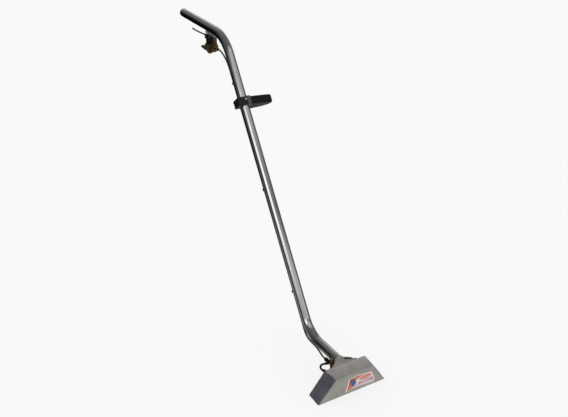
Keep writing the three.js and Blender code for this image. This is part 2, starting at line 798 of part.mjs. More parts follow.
function sprayFittings() {
  const pieces = [];
  const behind = new THREE.Vector3(0, -1, 0);
  const [faceX, faceY, faceZ] = ADAPTER_FACE;
  const branchY = HOSE_START[1];
  pieces.push(node(
    'line_nut',
    hexNut([faceX, faceY + 8, faceZ], behind, 11, 10, LINE_OD / 2 + GAP),
    darkSteel,
  ));
  const adapter = cut(
    join(
      turned([[0, 0], [6, 0], [6.8, 2.5], [6.8, 15], [5, 18], [0, 18]], [faceX, faceY - 2.4, faceZ], behind, 18),
      rod([faceX, branchY, faceZ], [HOSE_START[0] + 1.3, branchY, faceZ], 5.6, 16),
    ),
    rod([faceX, faceY + 2, faceZ], [faceX, faceY - 16, faceZ], 2),
    rod([faceX, branchY, faceZ], [HOSE_START[0] - 20, branchY, faceZ], 2),
  );
  pieces.push(node('hose_adapter', adapter, blackPlastic));

  const stations = hoseStations();
  pieces.push(node('jet_hose', pipe(stations, HOSE_OD / 2, HOSE_BORE / 2, 5), blackRubber));
  const first = stations[0];
  const last = stations[stations.length - 1];
  const ferrule = (station, turnedBack) => turned(
    ringProfile(HOSE_OD / 2 + GAP, HOSE_OD / 2 + 1.2, 0.4, 5.5),
    station.point.toArray(),
    turnedBack ? station.direction.clone().negate() : station.direction,
    16,
  );
  pieces.push(node('hose_ferrule_upper', ferrule(first, false), darkSteel));
  pieces.push(node('hose_ferrule_lower', ferrule(last, true), darkSteel));

  const nearHose = last.point.clone().addScaledVector(last.direction, GAP);
  const bend = [-46.5, 47.5, 44];
  const elbow = cut(
    join(
      rod(nearHose.toArray(), bend, 5, 14),
      new THREE.SphereGeometry(5.4, 14, 10).translate(...bend),
      rod(bend, [-46.5, 47.5, 35], 5, 14),
      rod([-46.5, 47.5, 35], [-44 - GAP, 47.5, 35], 5, 14),
      new THREE.SphereGeometry(5.4, 14, 10).translate(-50, 47.5, 35),
    ),
    rod(nearHose.clone().addScaledVector(last.direction, -2).toArray(), bend, 1.6, 8),
    rod(bend, [-46.5, 47.5, 35], 1.6, 8),
    rod([-47.5, 47.5, 35], [-40, 47.5, 35], 1.6, 8),
    boxBetween([-44 - GAP, 35, 25], [-30, 60, 60]),
  );
  pieces.push(node('manifold_elbow', elbow, brass));

  const [lowX, lowY, lowZ] = MANIFOLD.low;
  const [highX, highY, highZ] = MANIFOLD.high;
  const middleY = (lowY + highY) / 2;
  const middleZ = (lowZ + highZ) / 2;
  const manifold = cut(
    boxBetween(MANIFOLD.low, MANIFOLD.high),
    rod([lowX - 1, middleY, middleZ], [JET_X + 6, middleY, middleZ], 3, 12),
    ...[-1, 1].flatMap((side) => [
      rod([side * JET_X, middleY, lowZ - 1], [side * JET_X, middleY, middleZ], 2.4, 12),
      rod([side * BARREL_X, BARREL_Y, middleZ], [side * BARREL_X, BARREL_Y, highZ + 1], 2.4, 12),
    ]),
  );
  pieces.push(node('spray_manifold', manifold, brass));

  const barrel = [
    [2.4, 0], [6.6, 0], [6.6, 6], [5.6, 7], [5.6, 15], [6.8, 16], [6.8, 42], [6, 43.4],
    [0, 43.4], [0, 41], [2.4, 39], [2.4, 0],
  ];
  pieces.push(node('strainer_barrel', turned(barrel, [-BARREL_X, BARREL_Y, highZ + GAP], AXES.z, 18), brass));
  const plug = [
    [2.4, 0], [6.6, 0], [6.6, 4], [4.8, 5], [4.8, 9], [4, 10], [0, 10], [0, 8], [2.4, 6], [2.4, 0],
  ];
  pieces.push(node('manifold_plug', turned(plug, [BARREL_X, BARREL_Y, highZ + GAP], AXES.z, 18), brass));

  const down = new THREE.Vector3(0, 0, -1);
  [['left', -1], ['right', 1]].forEach(([name, side]) => {
    const jetTop = [side * JET_X, middleY, lowZ - GAP];
    const body = turned(
      [[1.8, 0], [6.4, 0], [6.4, 7], [4.6, 7.6], [4.6, 13], [1.8, 13], [1.8, 0]],
      jetTop,
      down,
      16,
    );
    const cap = turned(
      [[4.6 + GAP, 8.2], [7, 8.2], [7, 16.5], [3.2, 16.5], [3.2, 15], [4.6 + GAP, 15], [4.6 + GAP, 8.2]],
      jetTop,
      down,
      16,
    );
    const tip = turned(
      [
        [0.8, 13.3], [4.4, 13.3], [4.4, 14.7], [2.9, 14.7], [2.9, 17.5], [1.8, 19.2],
        [0.8, 19.2], [0.8, 13.3],
      ],
      jetTop,
      down,
      16,
    );
    pieces.push(node(`jet_body_${name}`, body, brass));
    pieces.push(node(`jet_cap_${name}`, cap, blackPlastic));
    pieces.push(node(`jet_tip_${name}`, tip, brass));
    pieces.push(...manifoldBracket(name, side));
  });
  return pieces;
}

// An L of sheet between the back plate and the manifold, with the screw that holds the bar to it.
function manifoldBracket(name, side) {
  const x = side * 12;
  const backPlateY = (z) => backY - ((backY - TOP_BACK.y) * z) / TOP_BACK.z;
  const foot = MANIFOLD.low[2] - GAP;
  const [, lowY, lowZ] = MANIFOLD.low;
  const [, highY, highZ] = MANIFOLD.high;
  const sheet = sideProfile(
    [
      [backPlateY(10) + GAP, 10], [backPlateY(10) + GAP + 2.2, 10], [backPlateY(foot) + GAP + 2.2, foot - 2.2],
      [highY - 1, foot - 2.2], [highY - 1, foot], [backPlateY(foot) + GAP, foot],
    ],
    6,
    x,
  );
  const middleY = (lowY + highY) / 2;
  const bracket = cut(sheet, rod([x, middleY, 20], [x, middleY, 40], 2.3, 12));
  const screw = turned(
    [
      [0, foot - 5.4], [3.6, foot - 5.4], [3.6, foot - 2.2 - GAP], [1.9, foot - 2.2 - GAP],
      [1.9, foot + 0.1], [0, foot + 0.1],
    ],
    [x, middleY, 0],
    AXES.z,
    12,
  );
  return [
    node(`manifold_bracket_${name}`, bracket, satinSteel),
    node(`bracket_screw_${name}`, screw, darkSteel),
  ];
}

// ---------------------------------------------------------------- the front grip

// Everything here is in the grip's own frame: z up along the middle run, -y to the front, x across.
function frontGrip() {
  const grip = new THREE.Group();
  grip.position.copy(upperCorner).addScaledVector(uphill(MIDDLE_TILT), -GRIP_ALONG);
  grip.rotation.x = MIDDLE_TILT - Math.PI / 2;

  const FRONT = -20.5;
  const REAR = 24;
  const HALF_HEIGHT = 14.5;
  const LEFT = -27;
  const ROOT = 20;
  const BELLY = 7; // how far the paddle's underside falls below the clamp
  const bore = rod([0, 0, -40], [0, 0, 40], TUBE_OD / 2 + GAP, 24);
  const linePlace = new THREE.Vector3(
    -LINE_STANDOFF * Math.sin(THREE.MathUtils.degToRad(LINE_AROUND)),
    LINE_STANDOFF * Math.cos(THREE.MathUtils.degToRad(LINE_AROUND)),
    0,
  );
  const linePassage = rod([linePlace.x, linePlace.y, -40], [linePlace.x, linePlace.y, 40], LINE_OD / 2 + 0.8, 12);

  const paddle = new THREE.Shape();
  paddle.moveTo(LEFT, GAP / 2);
  paddle.lineTo(ROOT + GAP, GAP / 2);
  paddle.lineTo(ROOT + GAP, FRONT);
  paddle.lineTo(98, FRONT + 1.5);
  paddle.quadraticCurveTo(104, FRONT + 2, 104, FRONT + 8);
  paddle.lineTo(103, -6);
  paddle.quadraticCurveTo(96, 14, 76, 18);
  paddle.quadraticCurveTo(50, 22, ROOT + 2, REAR);
  paddle.lineTo(LEFT, REAR);
  const bar = new THREE.ExtrudeGeometry(paddle, {
    depth: 2 * HALF_HEIGHT + BELLY,
    bevelEnabled: false,
    curveSegments: 6,
  }).translate(0, 0, -HALF_HEIGHT - BELLY);
  const taper = sixFaced(
    [
      [LEFT - 1, -40, -HALF_HEIGHT],
      [ROOT, -40, -HALF_HEIGHT],
      [ROOT, 40, -HALF_HEIGHT],
      [LEFT - 1, 40, -HALF_HEIGHT],
    ],
    [
      [LEFT - 1, -40, HALF_HEIGHT + 1],
      [ROOT, -40, HALF_HEIGHT + 1],
      [ROOT, 40, HALF_HEIGHT + 1],
      [LEFT - 1, 40, HALF_HEIGHT + 1],
    ],
  );
  const outer = sixFaced(
    [
      [ROOT - 0.1, -40, -HALF_HEIGHT + 2],
      [105, -40, -17.5],
      [105, 40, -17.5],
      [ROOT - 0.1, 40, -HALF_HEIGHT - BELLY],
    ],
    [
      [ROOT - 0.1, -40, HALF_HEIGHT],
      [105, -40, 13],
      [105, 40, 13],
      [ROOT - 0.1, 40, HALF_HEIGHT],
    ],
  );
  const boltPlaces = [-9, 9];
  const boltX = -21.8;
  const boltHoles = (from, to) => boltPlaces.map((z) => rod([boltX, from, z], [boltX, to, z], 2.3, 12));
  const envelope = join(taper, outer);
  const body = cut(common(bar, envelope), bore, linePassage, ...boltHoles(-30, 40));

  const cap = cut(
    boxBetween([LEFT, FRONT, -HALF_HEIGHT], [ROOT, -GAP / 2, HALF_HEIGHT]),
    bore,
    ...boltHoles(-17, 10),
    rod([0, -40, 4], [0, 0, 4], 2.3, 12),
  );

  const bandFrom = 6.5;
  const bandTo = 19.2;
  const bandThickness = 1.4;
  const bandLow = [bandFrom, FRONT - GAP - bandThickness, -HALF_HEIGHT - GAP - bandThickness];
  const bandHigh = [bandTo, REAR + GAP + bandThickness, HALF_HEIGHT + GAP + bandThickness];
  const band = cut(
    boxBetween(bandLow, bandHigh),
    boxBetween(
      [bandFrom - 1, FRONT - GAP, -HALF_HEIGHT - GAP],
      [bandTo + 1, REAR + GAP, HALF_HEIGHT + GAP],
    ),
    bore,
  );

  const bolts = boltPlaces.map((z, i) => node(
    `grip_bolt_${i + 1}`,
    turned(
      [[0, -4.5], [4, -4.5], [4, -GAP], [1.9, -GAP], [1.9, REAR + 16], [0, REAR + 16]],
      [boltX, REAR, z],
      new THREE.Vector3(0, -1, 0),
      14,
    ),
    steel,
  ));
  const clampScrew = turned(
    [[0, -5.2], [3.6, -5.2], [4.6, -4], [4.6, -GAP], [1.9, -GAP], [1.9, 3.9], [0, 3.9]],
    [0, FRONT, 4],
    AXES.y,
    16,
  );
  grip.add(
    node('grip_body', body, blackPlastic),
    node('grip_clamp_cap', cap, blackPlastic),
    node('grip_band', band, satinSteel),
    node('grip_clamp_screw', clampScrew, steel),
    ...bolts,
  );
  return grip;
}

// ---------------------------------------------------------------- the whole wand

// The pieces are laid out from the middle of the head's floor face, and moved back by FRONT_LIP so that the
// origin is on the front lip.
const FRONT_LIP = HEAD_DEPTH / 2 - SHEET / 2;

const wand = new THREE.Group();
wand.position.y = FRONT_LIP;
wand.add(
  ...vacuumTube(),
  ...floorHead(),
  ...solutionLine(),
  ...triggerValve(),
  ...sprayFittings(),
  frontGrip(),
);

export default wand;
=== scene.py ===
"""The looks of a hot-water extraction wand for carpets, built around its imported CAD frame.

Metres. +Z up, -Y is the head's front, +Y the hand end, and the origin is on the head's front lip.
"""
import math
import random

import bmesh
import bpy
from mathutils import Matrix, Vector, noise


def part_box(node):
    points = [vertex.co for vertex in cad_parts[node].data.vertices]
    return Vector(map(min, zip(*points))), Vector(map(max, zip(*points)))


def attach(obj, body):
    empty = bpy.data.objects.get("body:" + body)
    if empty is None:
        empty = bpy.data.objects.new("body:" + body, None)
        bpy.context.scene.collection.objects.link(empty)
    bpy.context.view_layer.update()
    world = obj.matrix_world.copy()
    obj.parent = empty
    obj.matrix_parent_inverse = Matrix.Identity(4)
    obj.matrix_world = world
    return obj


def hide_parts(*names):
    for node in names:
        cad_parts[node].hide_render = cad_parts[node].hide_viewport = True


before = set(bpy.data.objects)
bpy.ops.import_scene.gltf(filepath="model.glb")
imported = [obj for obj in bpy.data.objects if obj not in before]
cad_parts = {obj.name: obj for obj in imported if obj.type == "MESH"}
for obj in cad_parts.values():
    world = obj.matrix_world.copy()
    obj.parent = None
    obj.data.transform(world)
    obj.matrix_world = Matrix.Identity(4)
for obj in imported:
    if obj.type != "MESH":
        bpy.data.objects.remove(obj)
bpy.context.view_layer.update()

MM = 0.001
BODY = "wand"
TINY = 1e-6
ACROSS = Vector((1, 0, 0))
UP = Vector((0, 0, 1))
FORWARD = Vector((0, -1, 0))

# ---------------- sizes shared with the CAD part, in metres

TUBE_RADIUS = 15.88 * MM
TUBE_BORE = 14.4 * MM
LIP = 28 * MM  # from the middle of the head's floor face to its front lip
LOWER_CORNER = Vector((0, 213.2 * MM + LIP, 74.75 * MM))
LOWER_TILT = math.radians(2.4)
MIDDLE_TILT = math.radians(57.9)
HANDLE_TILT = math.radians(7.7)
MIDDLE_LENGTH = 1071.3 * MM
HANDLE_LENGTH = 362 * MM
LOWER_BEND = 106 * MM
UPPER_BEND = 150 * MM


def uphill(tilt):
    return Vector((0, math.cos(tilt), math.sin(tilt)))


def laid(x, y, z):
    """A place in mm, measured from above the middle of the head's floor face."""
    return Vector((x * MM, y * MM + LIP, z * MM))


UPPER_CORNER = LOWER_CORNER + uphill(MIDDLE_TILT) * MIDDLE_LENGTH
HANDLE_END = UPPER_CORNER + uphill(HANDLE_TILT) * HANDLE_LENGTH
TUBE_FOOT = LOWER_CORNER - uphill(LOWER_TILT) * (LOWER_CORNER.y - 36 * MM - LIP) / math.cos(LOWER_TILT)


# ---------------- camera, floor and light

def linked(name, data):
    """A new object of the scene."""
    obj = bpy.data.objects.new(name, data)
    bpy.context.scene.collection.objects.link(obj)
    return obj


def lump(name, vertices, faces):
    """A plain mesh object."""
    mesh = bpy.data.meshes.new(name)
    mesh.from_pydata([tuple(v) for v in vertices], [], faces)
    return linked(name, mesh)


def look_from(name, place, forward, up):
    """A camera at place. forward and up give its attitude."""
    back = -Vector(forward).normalized()
    right = Vector(up).cross(back).normalized()
    attitude = Matrix((right, back.cross(right), back)).transposed().to_4x4()
    camera = linked(name, bpy.data.cameras.new(name))
    camera.matrix_world = Matrix.Translation(place) @ attitude
    return camera


camera = look_from("camera", (-1.0255, -1.3178, 1.3026), (0.4718, 0.7941, -0.3833), (0.2003, 0.3268, 0.9236))
camera.data.sensor_width = 36
camera.data.lens = 41.52
bpy.context.scene.camera = camera
bpy.context.scene.view_settings.view_transform = "Standard"
bpy.context.scene.view_settings.look = "None"


class Nodes:
    """Short calls for building a node tree."""

    def __init__(self, tree):
        self.tree = tree
        tree.nodes.clear()

    def add(self, kind, inputs=None, **settings):
        node = self.tree.nodes.new(kind)
        for name, value in settings.items():
            setattr(node, name, value)
        for key, value in (inputs or {}).items():
            if isinstance(value, bpy.types.NodeSocket):
                self.tree.links.new(value, node.inputs[key])
            else:
                node.inputs[key].default_value = value
        return node

    def math(self, operation, a, b=0.0, c=0.0, clamp=False):
        return self.add(
            "ShaderNodeMath", {0: a, 1: b, 2: c}, operation=operation, use_clamp=clamp
        ).outputs[0]

    def between(self, value, start, end, interpolation="LINEAR"):
        """0 at start, 1 at end, and held beyond them."""
        inputs = {0: value, 1: start, 2: end}
        return self.add("ShaderNodeMapRange", inputs, interpolation_type=interpolation).outputs[0]

    def ramp(self, value, stops):
        node = self.add("ShaderNodeValToRGB", {0: value})
        ramp = node.color_ramp
        while len(ramp.elements) < len(stops):
            ramp.elements.new(0.5)
        for element, (place, colour) in zip(ramp.elements, stops):
            element.position = place
            element.color = (*colour, 1) if len(colour) == 3 else (colour[0],) * 3 + (1,)
        return node.outputs[0]

    def mix(self, factor, a, b, blend="MIX"):
        node = self.add("ShaderNodeMix", data_type="RGBA", blend_type=blend)
        for socket, value in ((node.inputs[0], factor), (node.inputs[6], a), (node.inputs[7], b)):
            if isinstance(value, bpy.types.NodeSocket):
                self.tree.links.new(value, socket)
            else:
                socket.default_value = value if isinstance(value, float) else (*value, 1)
        return node.outputs[2]

    def noise(self, coordinates, scale, detail=3.0, roughness=0.5, distortion=0.0):
        return self.add(
            "ShaderNodeTexNoise",
            {"Vector": coordinates, "Scale": scale, "Detail": detail, "Roughness": roughness,
             "Distortion": distortion},
        ).outputs[0]

    def stretched(self, coordinates, scale):
        return self.add("ShaderNodeMapping", {"Vector": coordinates, "Scale": scale}).outputs[0]

    def bump(self, height, strength, distance, normal=None):
        inputs = {"Height": height, "Strength": strength, "Distance": distance}
        if normal is not None:
            inputs["Normal"] = normal
        return self.add("ShaderNodeBump", inputs).outputs[0]


def world_light():
    """A studio: what the camera sees behind the floor, what matt surfaces gather, and what gloss reflects.

    Gloss sees a dim room with a bright softbox at the front left, broad weak panels in front of it, and a
    pale floor at the right. Matt surfaces see one even dome."""
    world = bpy.data.worlds.new("studio")
    bpy.context.scene.world = world
    world.use_nodes = True
    world.cycles.sampling_method = "NONE"
    n = Nodes(world.node_tree)
    direction = n.add("ShaderNodeTexCoord").outputs["Generated"]

    def toward(vector):
        inputs = {0: direction, 1: Vector(vector).normalized()}
        return n.add("ShaderNodeVectorMath", inputs, operation="DOT_PRODUCT").outputs["Value"]

    def between(value, start, end):
        return n.between(value, start, end, "SMOOTHSTEP")

    def panel(middle, half_width, soft_width, half_height, soft_height):
        """A soft-edged rectangle of light, square to the middle run. Sizes are tangents of angles."""
        facing = Vector(middle).normalized()
        side = facing.cross(uphill(MIDDLE_TILT)).normalized()
        grazing, full = 0.02, 0.1  # cosines where a panel fades in from the side
        depth = n.math("MAXIMUM", toward(facing), grazing)
        across = n.math("ABSOLUTE", n.math("DIVIDE", toward(side), depth))
        up = n.math("ABSOLUTE", n.math("DIVIDE", toward(side.cross(facing)), depth))
        shape = n.math("MULTIPLY", between(across, half_width + soft_width, half_width),
                       between(up, half_height + soft_height, half_height))
        return n.math("MULTIPLY", shape, between(toward(facing), grazing, full))

    def tube_view(around, along):
        """A direction mirrored by the middle run: degrees around it from its front, and a share along it."""
        turn = math.radians(around)
        above = Vector((0, -math.sin(MIDDLE_TILT), math.cos(MIDDLE_TILT)))
        outward = Vector((math.sin(turn), 0, 0)) + above * math.cos(turn)
        return outward * math.sqrt(1 - along * along) + uphill(MIDDLE_TILT) * along

    def lit(light, mask, colour):
        return n.mix(1.0, light, n.mix(mask, (0.0, 0.0, 0.0), colour), blend="ADD")

    height = n.math("MULTIPLY_ADD", n.add("ShaderNodeSeparateXYZ", {0: direction}).outputs[2], 0.5, 0.5)
    light = n.ramp(
        height,
        [(0.0, (0.03, 0.03, 0.03)), (0.35, (0.003, 0.003, 0.003)), (0.55, (0.004, 0.004, 0.005)),
         (0.75, (0.07, 0.07, 0.072)), (1.0, (0.15, 0.15, 0.15))],
    )
    panels = [  # middle, half width and softness, half height and softness, colour
        (tube_view(-45, 0.155), 0.28, 0.24, 0.03, 0.20, (1.4, 1.4, 1.38)),
        (tube_view(-34, -0.10), 0.70, 0.35, 0.12, 0.16, (0.38, 0.38, 0.375)),
        (tube_view(34, -0.15), 0.28, 0.25, 0.12, 0.14, (0.56, 0.56, 0.55)),
        (tube_view(10, 0.42), 0.75, 0.40, 0.14, 0.20, (0.34, 0.33, 0.32)),
        (tube_view(0, 0.12), 0.35, 0.50, 0.30, 0.40, (0.14, 0.14, 0.138)),
    ]
    for middle, half_width, soft_width, half_height, soft_height, colour in panels:
        light = lit(light, panel(middle, half_width, soft_width, half_height, soft_height), colour)
    lobes = [  # toward, cosine at the edge, cosine at the full light, colour
        ((0.35, -0.60, -0.70), 0.45, 0.92, (0.42, 0.42, 0.405)),
        ((0.50, 0.53, -0.69), 0.80, 0.95, (0.66, 0.60, 0.57)),
        ((0.54, 0.79, 0.28), 0.86, 0.97, (0.50, 0.47, 0.455)),
        ((0.95, 0.00, 0.30), 0.70, 0.95, (0.12, 0.12, 0.118)),
        ((0.15, 0.40, 0.90), 0.78, 0.97, (0.03, 0.03, 0.03)),
        ((-0.60, 0.45, -0.66), 0.84, 0.96, (0.24, 0.24, 0.24)),
        ((-0.96, 0.05, -0.10), 0.72, 0.92, (0.07, 0.07, 0.07)),
        ((0.05, 0.84, 0.55), 0.80, 0.99, (0.11, 0.11, 0.11)),
    ]
    for place, edge, full, colour in lobes:
        light = lit(light, between(toward(place), edge, full), colour)
    dome = n.ramp(height, [(0.0, (0.62, 0.61, 0.60)), (1.0, (1.0, 1.0, 1.0))])
    rays = n.add("ShaderNodeLightPath").outputs
    seen = n.mix(rays["Is Diffuse Ray"], light, dome)
    seen = n.mix(rays["Is Camera Ray"], seen, (0.939, 0.939, 0.939))
    background = n.add("ShaderNodeBackground", {"Color": seen, "Strength": 1.0})
    n.add("ShaderNodeOutputWorld", {0: background.outputs[0]})


def floor():
    """A pale floor that glows evenly, so that only a faint shadow shows, and that reflections don't see."""
    reach = 60
    corners = [(-reach, -reach, 0), (reach, -reach, 0), (reach, reach, 0), (-reach, reach, 0)]
    obj = lump("studio_floor", corners, [(0, 1, 2, 3)])
    obj.location.z = -0.4 * MM
    obj.visible_glossy = False
    obj.visible_diffuse = False
    material = bpy.data.materials.new("studio_floor")
    material.use_nodes = True
    n = Nodes(material.node_tree)
    glow = n.add("ShaderNodeEmission", {"Color": (0.9, 0.9, 0.9, 1), "Strength": 0.885})
    matt = n.add("ShaderNodeBsdfDiffuse", {"Color": (0.16, 0.16, 0.16, 1)})
    both = n.add("ShaderNodeAddShader", {0: glow.outputs[0], 1: matt.outputs[0]})
    n.add("ShaderNodeOutputMaterial", {0: both.outputs[0]})
    obj.data.materials.append(material)


world_light()
floor()


# ---------------- materials

def material(name):
    """A new material, its node calls, and its object coordinates, which are metres in the row's frame."""
    made = bpy.data.materials.new(name)
    made.use_nodes = True
    nodes = Nodes(made.node_tree)
    return made, nodes, nodes.add("ShaderNodeTexCoord").outputs["Object"]


def surface(n, **inputs):
    """The shader and the output. A key's underscores stand for the spaces in a socket's name."""
    sockets = {key.replace("_", " "): value for key, value in inputs.items()}
    n.add("ShaderNodeOutputMaterial", {0: n.add("ShaderNodeBsdfPrincipled", sockets).outputs[0]})


def polished_steel(name, along):
    """Polished tube. along is the UV map that runs round and along a pipe, or None for object space."""
    made, n, where = material(name)
    run = n.add("ShaderNodeUVMap", uv_map=along).outputs[0] if along else where
    drawn = n.noise(n.stretched(run, (900, 12, 900)), 1.0, detail=2.0)
    haze = n.noise(where, 14.0, detail=4.0, roughness=0.6)
    smudge = n.noise(where, 95.0, detail=3.0)
    rough = n.math("MULTIPLY_ADD", n.math("MULTIPLY", haze, smudge), 0.2, 0.07)
    tint = n.ramp(haze, [(0.3, (0.60, 0.585, 0.565)), (0.7, (0.69, 0.68, 0.665))])
    ripple = n.noise(n.stretched(run, (60, 9, 60)), 1.0, detail=1.0)
    height = n.math("MULTIPLY_ADD", ripple, 1.0, n.math("MULTIPLY", drawn, 0.12))
    surface(n, Base_Color=tint, Metallic=1.0, Roughness=rough,
            Normal=n.bump(height, 0.35, 0.12 * MM))
    return made


def satin_steel(name, streak, tones, metallic):
    """Brushed sheet. streak stretches the brush lines along the axis with the small number, and tones are its
    dark, middle and light colours."""
    made, n, where = material(name)
    brushed = n.noise(n.stretched(where, streak), 1.0, detail=3.0, roughness=0.6)
    patches = n.noise(where, 26.0, detail=4.0, roughness=0.55)
    stains = n.noise(where, 70.0, detail=5.0, roughness=0.65, distortion=0.6)
    tint = n.ramp(patches, list(zip((0.32, 0.5, 0.68), tones)))
    worn = n.mix(n.math("MULTIPLY", stains, 0.22), tint, (0.40, 0.375, 0.35))
    rough = n.math("MULTIPLY_ADD", brushed, 0.16, 0.30)
    surface(n, Base_Color=worn, Metallic=metallic, Roughness=rough,
            Normal=n.bump(brushed, 0.5, 0.03 * MM))
    return made


def mottled(name, scale, tones, rough, grain, depth, metallic):
    """Patches between two tones, and a fine grain whose depth is in mm."""
    made, n, where = material(name)
    patches = n.noise(where, scale, detail=4.0)
    surface(n, Base_Color=n.ramp(patches, tones), Metallic=metallic,
            Roughness=n.math("MULTIPLY_ADD", patches, 0.25, rough),
            Normal=n.bump(n.noise(where, grain), 0.3, depth * MM))
    return made


def aged_brass():
    made, n, where = material("aged_brass")
    patches = n.noise(where, 48.0, detail=3.0, roughness=0.5)
    spots = n.noise(where, 260.0, detail=3.0)
    tones = [(0.32, (0.13, 0.09, 0.042)), (0.52, (0.22, 0.155, 0.07)), (0.7, (0.33, 0.235, 0.115))]
    worn = n.mix(n.math("MULTIPLY", spots, 0.25), n.ramp(patches, tones), (0.42, 0.29, 0.16))
    surface(n, Base_Color=worn, Metallic=0.9,
            Roughness=n.math("MULTIPLY_ADD", n.math("ADD", patches, spots), 0.12, 0.26),
            Normal=n.bump(spots, 0.15, 0.03 * MM))
    return made


def black_plastic(name, dark, pale):
    made, n, where = material(name)
    grain = n.add("ShaderNodeTexVoronoi", {"Vector": where, "Scale": 1300.0}).outputs["Distance"]
    patches = n.noise(where, 60.0, detail=4.0)
    tint = n.ramp(patches, [(0.35, dark), (0.7, pale)])
    surface(n, Base_Color=tint, Roughness=n.math("MULTIPLY_ADD", patches, 0.22, 0.3), Specular_IOR_Level=0.22,
            Normal=n.bump(grain, 0.4, 0.05 * MM))
    return made


def printed_label():
    """A glossy sticker with an abstract print: a warm field, pale strokes, a blue disc and no lettering."""
    made, n, where = material("printed_label")
    parts = n.add("ShaderNodeSeparateXYZ", {0: where})
    across, up = parts.outputs[0], parts.outputs[2]

    def reach(x, z, half_width, half_height):
        """How far a point is from the middle of an oval, as a share of the oval's own size."""
        place = n.add("ShaderNodeCombineXYZ", {
            0: n.math("DIVIDE", n.math("SUBTRACT", across, x * MM), half_width * MM),
            2: n.math("DIVIDE", n.math("SUBTRACT", up, z * MM), half_height * MM),
        })
        return n.add("ShaderNodeVectorMath", {0: place.outputs[0]}, operation="LENGTH").outputs["Value"]

    def oval(x, z, half_width, half_height, soft):
        from_middle = reach(x, z, half_width, half_height)
        return n.between(from_middle, 1 + soft, 1 - soft)

    def arc(x, z, half_width, half_height, thick):
        off = n.math("ABSOLUTE", n.math("SUBTRACT", reach(x, z, half_width, half_height), 1.0))
        return n.between(off, thick * 1.4, thick * 0.7)

    field = n.ramp(
        n.between(across, -24 * MM, 78 * MM),
        [(0.0, (0.45, 0.075, 0.005)), (0.18, (0.55, 0.10, 0.012)), (0.40, (0.60, 0.125, 0.07)),
         (0.7, (0.66, 0.15, 0.08)), (1.0, (0.48, 0.06, 0.05))],
    )
    uneven = n.math("MULTIPLY", n.noise(where, 120.0, detail=2.0), 0.4)
    layers = [  # mask, strength, colour, from the back to the front
        (oval(60, 24, 26, 7, 0.25), 0.8, (0.34, 0.26, 0.50)),
        (oval(40, 17, 44, 7.5, 0.3), 0.85, (0.74, 0.66, 0.74)),
        (arc(42, 45, 27, 11, 0.17), 0.85, (0.84, 0.68, 0.68)),
        (arc(48, 36, 22, 7, 0.22), 0.7, (0.82, 0.64, 0.62)),
        (oval(-12, 50, 9, 11, 0.4), 0.9, (0.20, 0.05, 0.015)),
        (oval(6, 36, 14, 11, 0.12), 1.0, (0.84, 0.80, 0.84)),
        (oval(-1.5, 37, 10, 11.5, 0.08), 1.0, (0.022, 0.10, 0.36)),
    ]
    print_colour = n.mix(uneven, field, (0.80, 0.40, 0.28))
    for mask, strength, colour in layers:
        print_colour = n.mix(n.math("MULTIPLY", mask, strength), print_colour, colour)
    edge = n.add("ShaderNodeAttribute", attribute_name="border").outputs["Fac"]
    inked = n.mix(n.ramp(edge, [(0.45, (0,)), (0.55, (1,))]), (0.82, 0.78, 0.79), print_colour)
    surface(n, Base_Color=inked, Roughness=n.math("MULTIPLY_ADD", n.noise(where, 200.0), 0.2, 0.22),
            Coat_Weight=0.4, Coat_Roughness=0.12,
            Normal=n.bump(n.noise(where, 300.0), 0.2, 0.03 * MM))
    return made


BRUSHED = {  # streak, tones and metallic
    "satin_steel": ((14, 900, 900), [(0.49, 0.445, 0.44), (0.565, 0.54, 0.505), (0.62, 0.60, 0.56)], 0.75),
    # the copy for the head's end faces: its streaks run upright, and its bluish tones are a painted
    # reflection of the dark blue those faces mirror
    "satin_steel_upright":
        ((600, 600, 16), [(0.33, 0.32, 0.46), (0.44, 0.455, 0.54), (0.56, 0.575, 0.61)], 0.89),
    # the valve strap's own copy: its purplish grey tones are painted sheen, standing in for the light the
    # strap catches from below and to the left
    "zinc_plate": ((300, 40, 300), [(0.24, 0.205, 0.22), (0.31, 0.27, 0.29), (0.40, 0.36, 0.38)], 0.6),
    "dull_band": ((300, 300, 300), [(0.07, 0.056, 0.062), (0.092, 0.077, 0.083), (0.13, 0.115, 0.121)], 0.7),
}
LOOKS = {
    "polished_steel": polished_steel("polished_steel", None),
    "swept_steel": polished_steel("swept_steel", "run"),
    "dark_steel": mottled("dark_steel", 180.0, [(0.35, (0.11, 0.11, 0.115)), (0.65, (0.2, 0.2, 0.205))],
                          0.25, 900.0, 0.02, 1.0),
    "aged_brass": aged_brass(),
    "black_plastic": black_plastic("black_plastic", (0.003, 0.0035, 0.004), (0.007, 0.008, 0.0085)),
    "clamp_plastic": black_plastic("clamp_plastic", (0.011, 0.010, 0.0105), (0.022, 0.020, 0.0205)),
    "black_rubber": mottled("black_rubber", 140.0,
                            [(0.35, (0.006, 0.0065, 0.007)), (0.7, (0.016, 0.018, 0.018))],
                            0.38, 1500.0, 0.03, 0.0),
    "sticker": printed_label(),
}
for name, made in BRUSHED.items():
    LOOKS[name] = satin_steel(name, *made)

# ---------------- meshes

def smoothed(mesh, sharp):
    """Smooth shading, but for edges sharper than an angle in degrees."""
    mesh.shade_smooth()
    mesh.set_sharp_from_angle(angle=math.radians(sharp))


def dressed(obj, look, replaces=(), body=BODY, sharp=40):
    """Makes a mesh object a piece of the wand, which stands for the CAD nodes in replaces."""
    obj.data.materials.append(LOOKS[look])
    smoothed(obj.data, sharp)
    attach(obj, body)
    "polished_steel" if look == "swept_steel" else look
    if replaces:
        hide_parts(*replaces)
    return obj


def piece(name, vertices, faces, look, replaces=(), **settings):
    return dressed(lump(name, vertices, faces), look, replaces, **settings)


def band(low, high, count):
    """The faces between two rings of count vertices, each given by its first vertex."""
    return [[low + k, low + (k + 1) % count, high + (k + 1) % count, high + k] for k in range(count)]


def capped(rings, count):
    """The faces of a solid made of rings of count vertices, one after the other: its sides and two ends."""
    sides = [face for i in range(rings - 1) for face in band(i * count, (i + 1) * count, count)]
    return sides + [list(range(count))[::-1], list(range((rings - 1) * count, rings * count))]


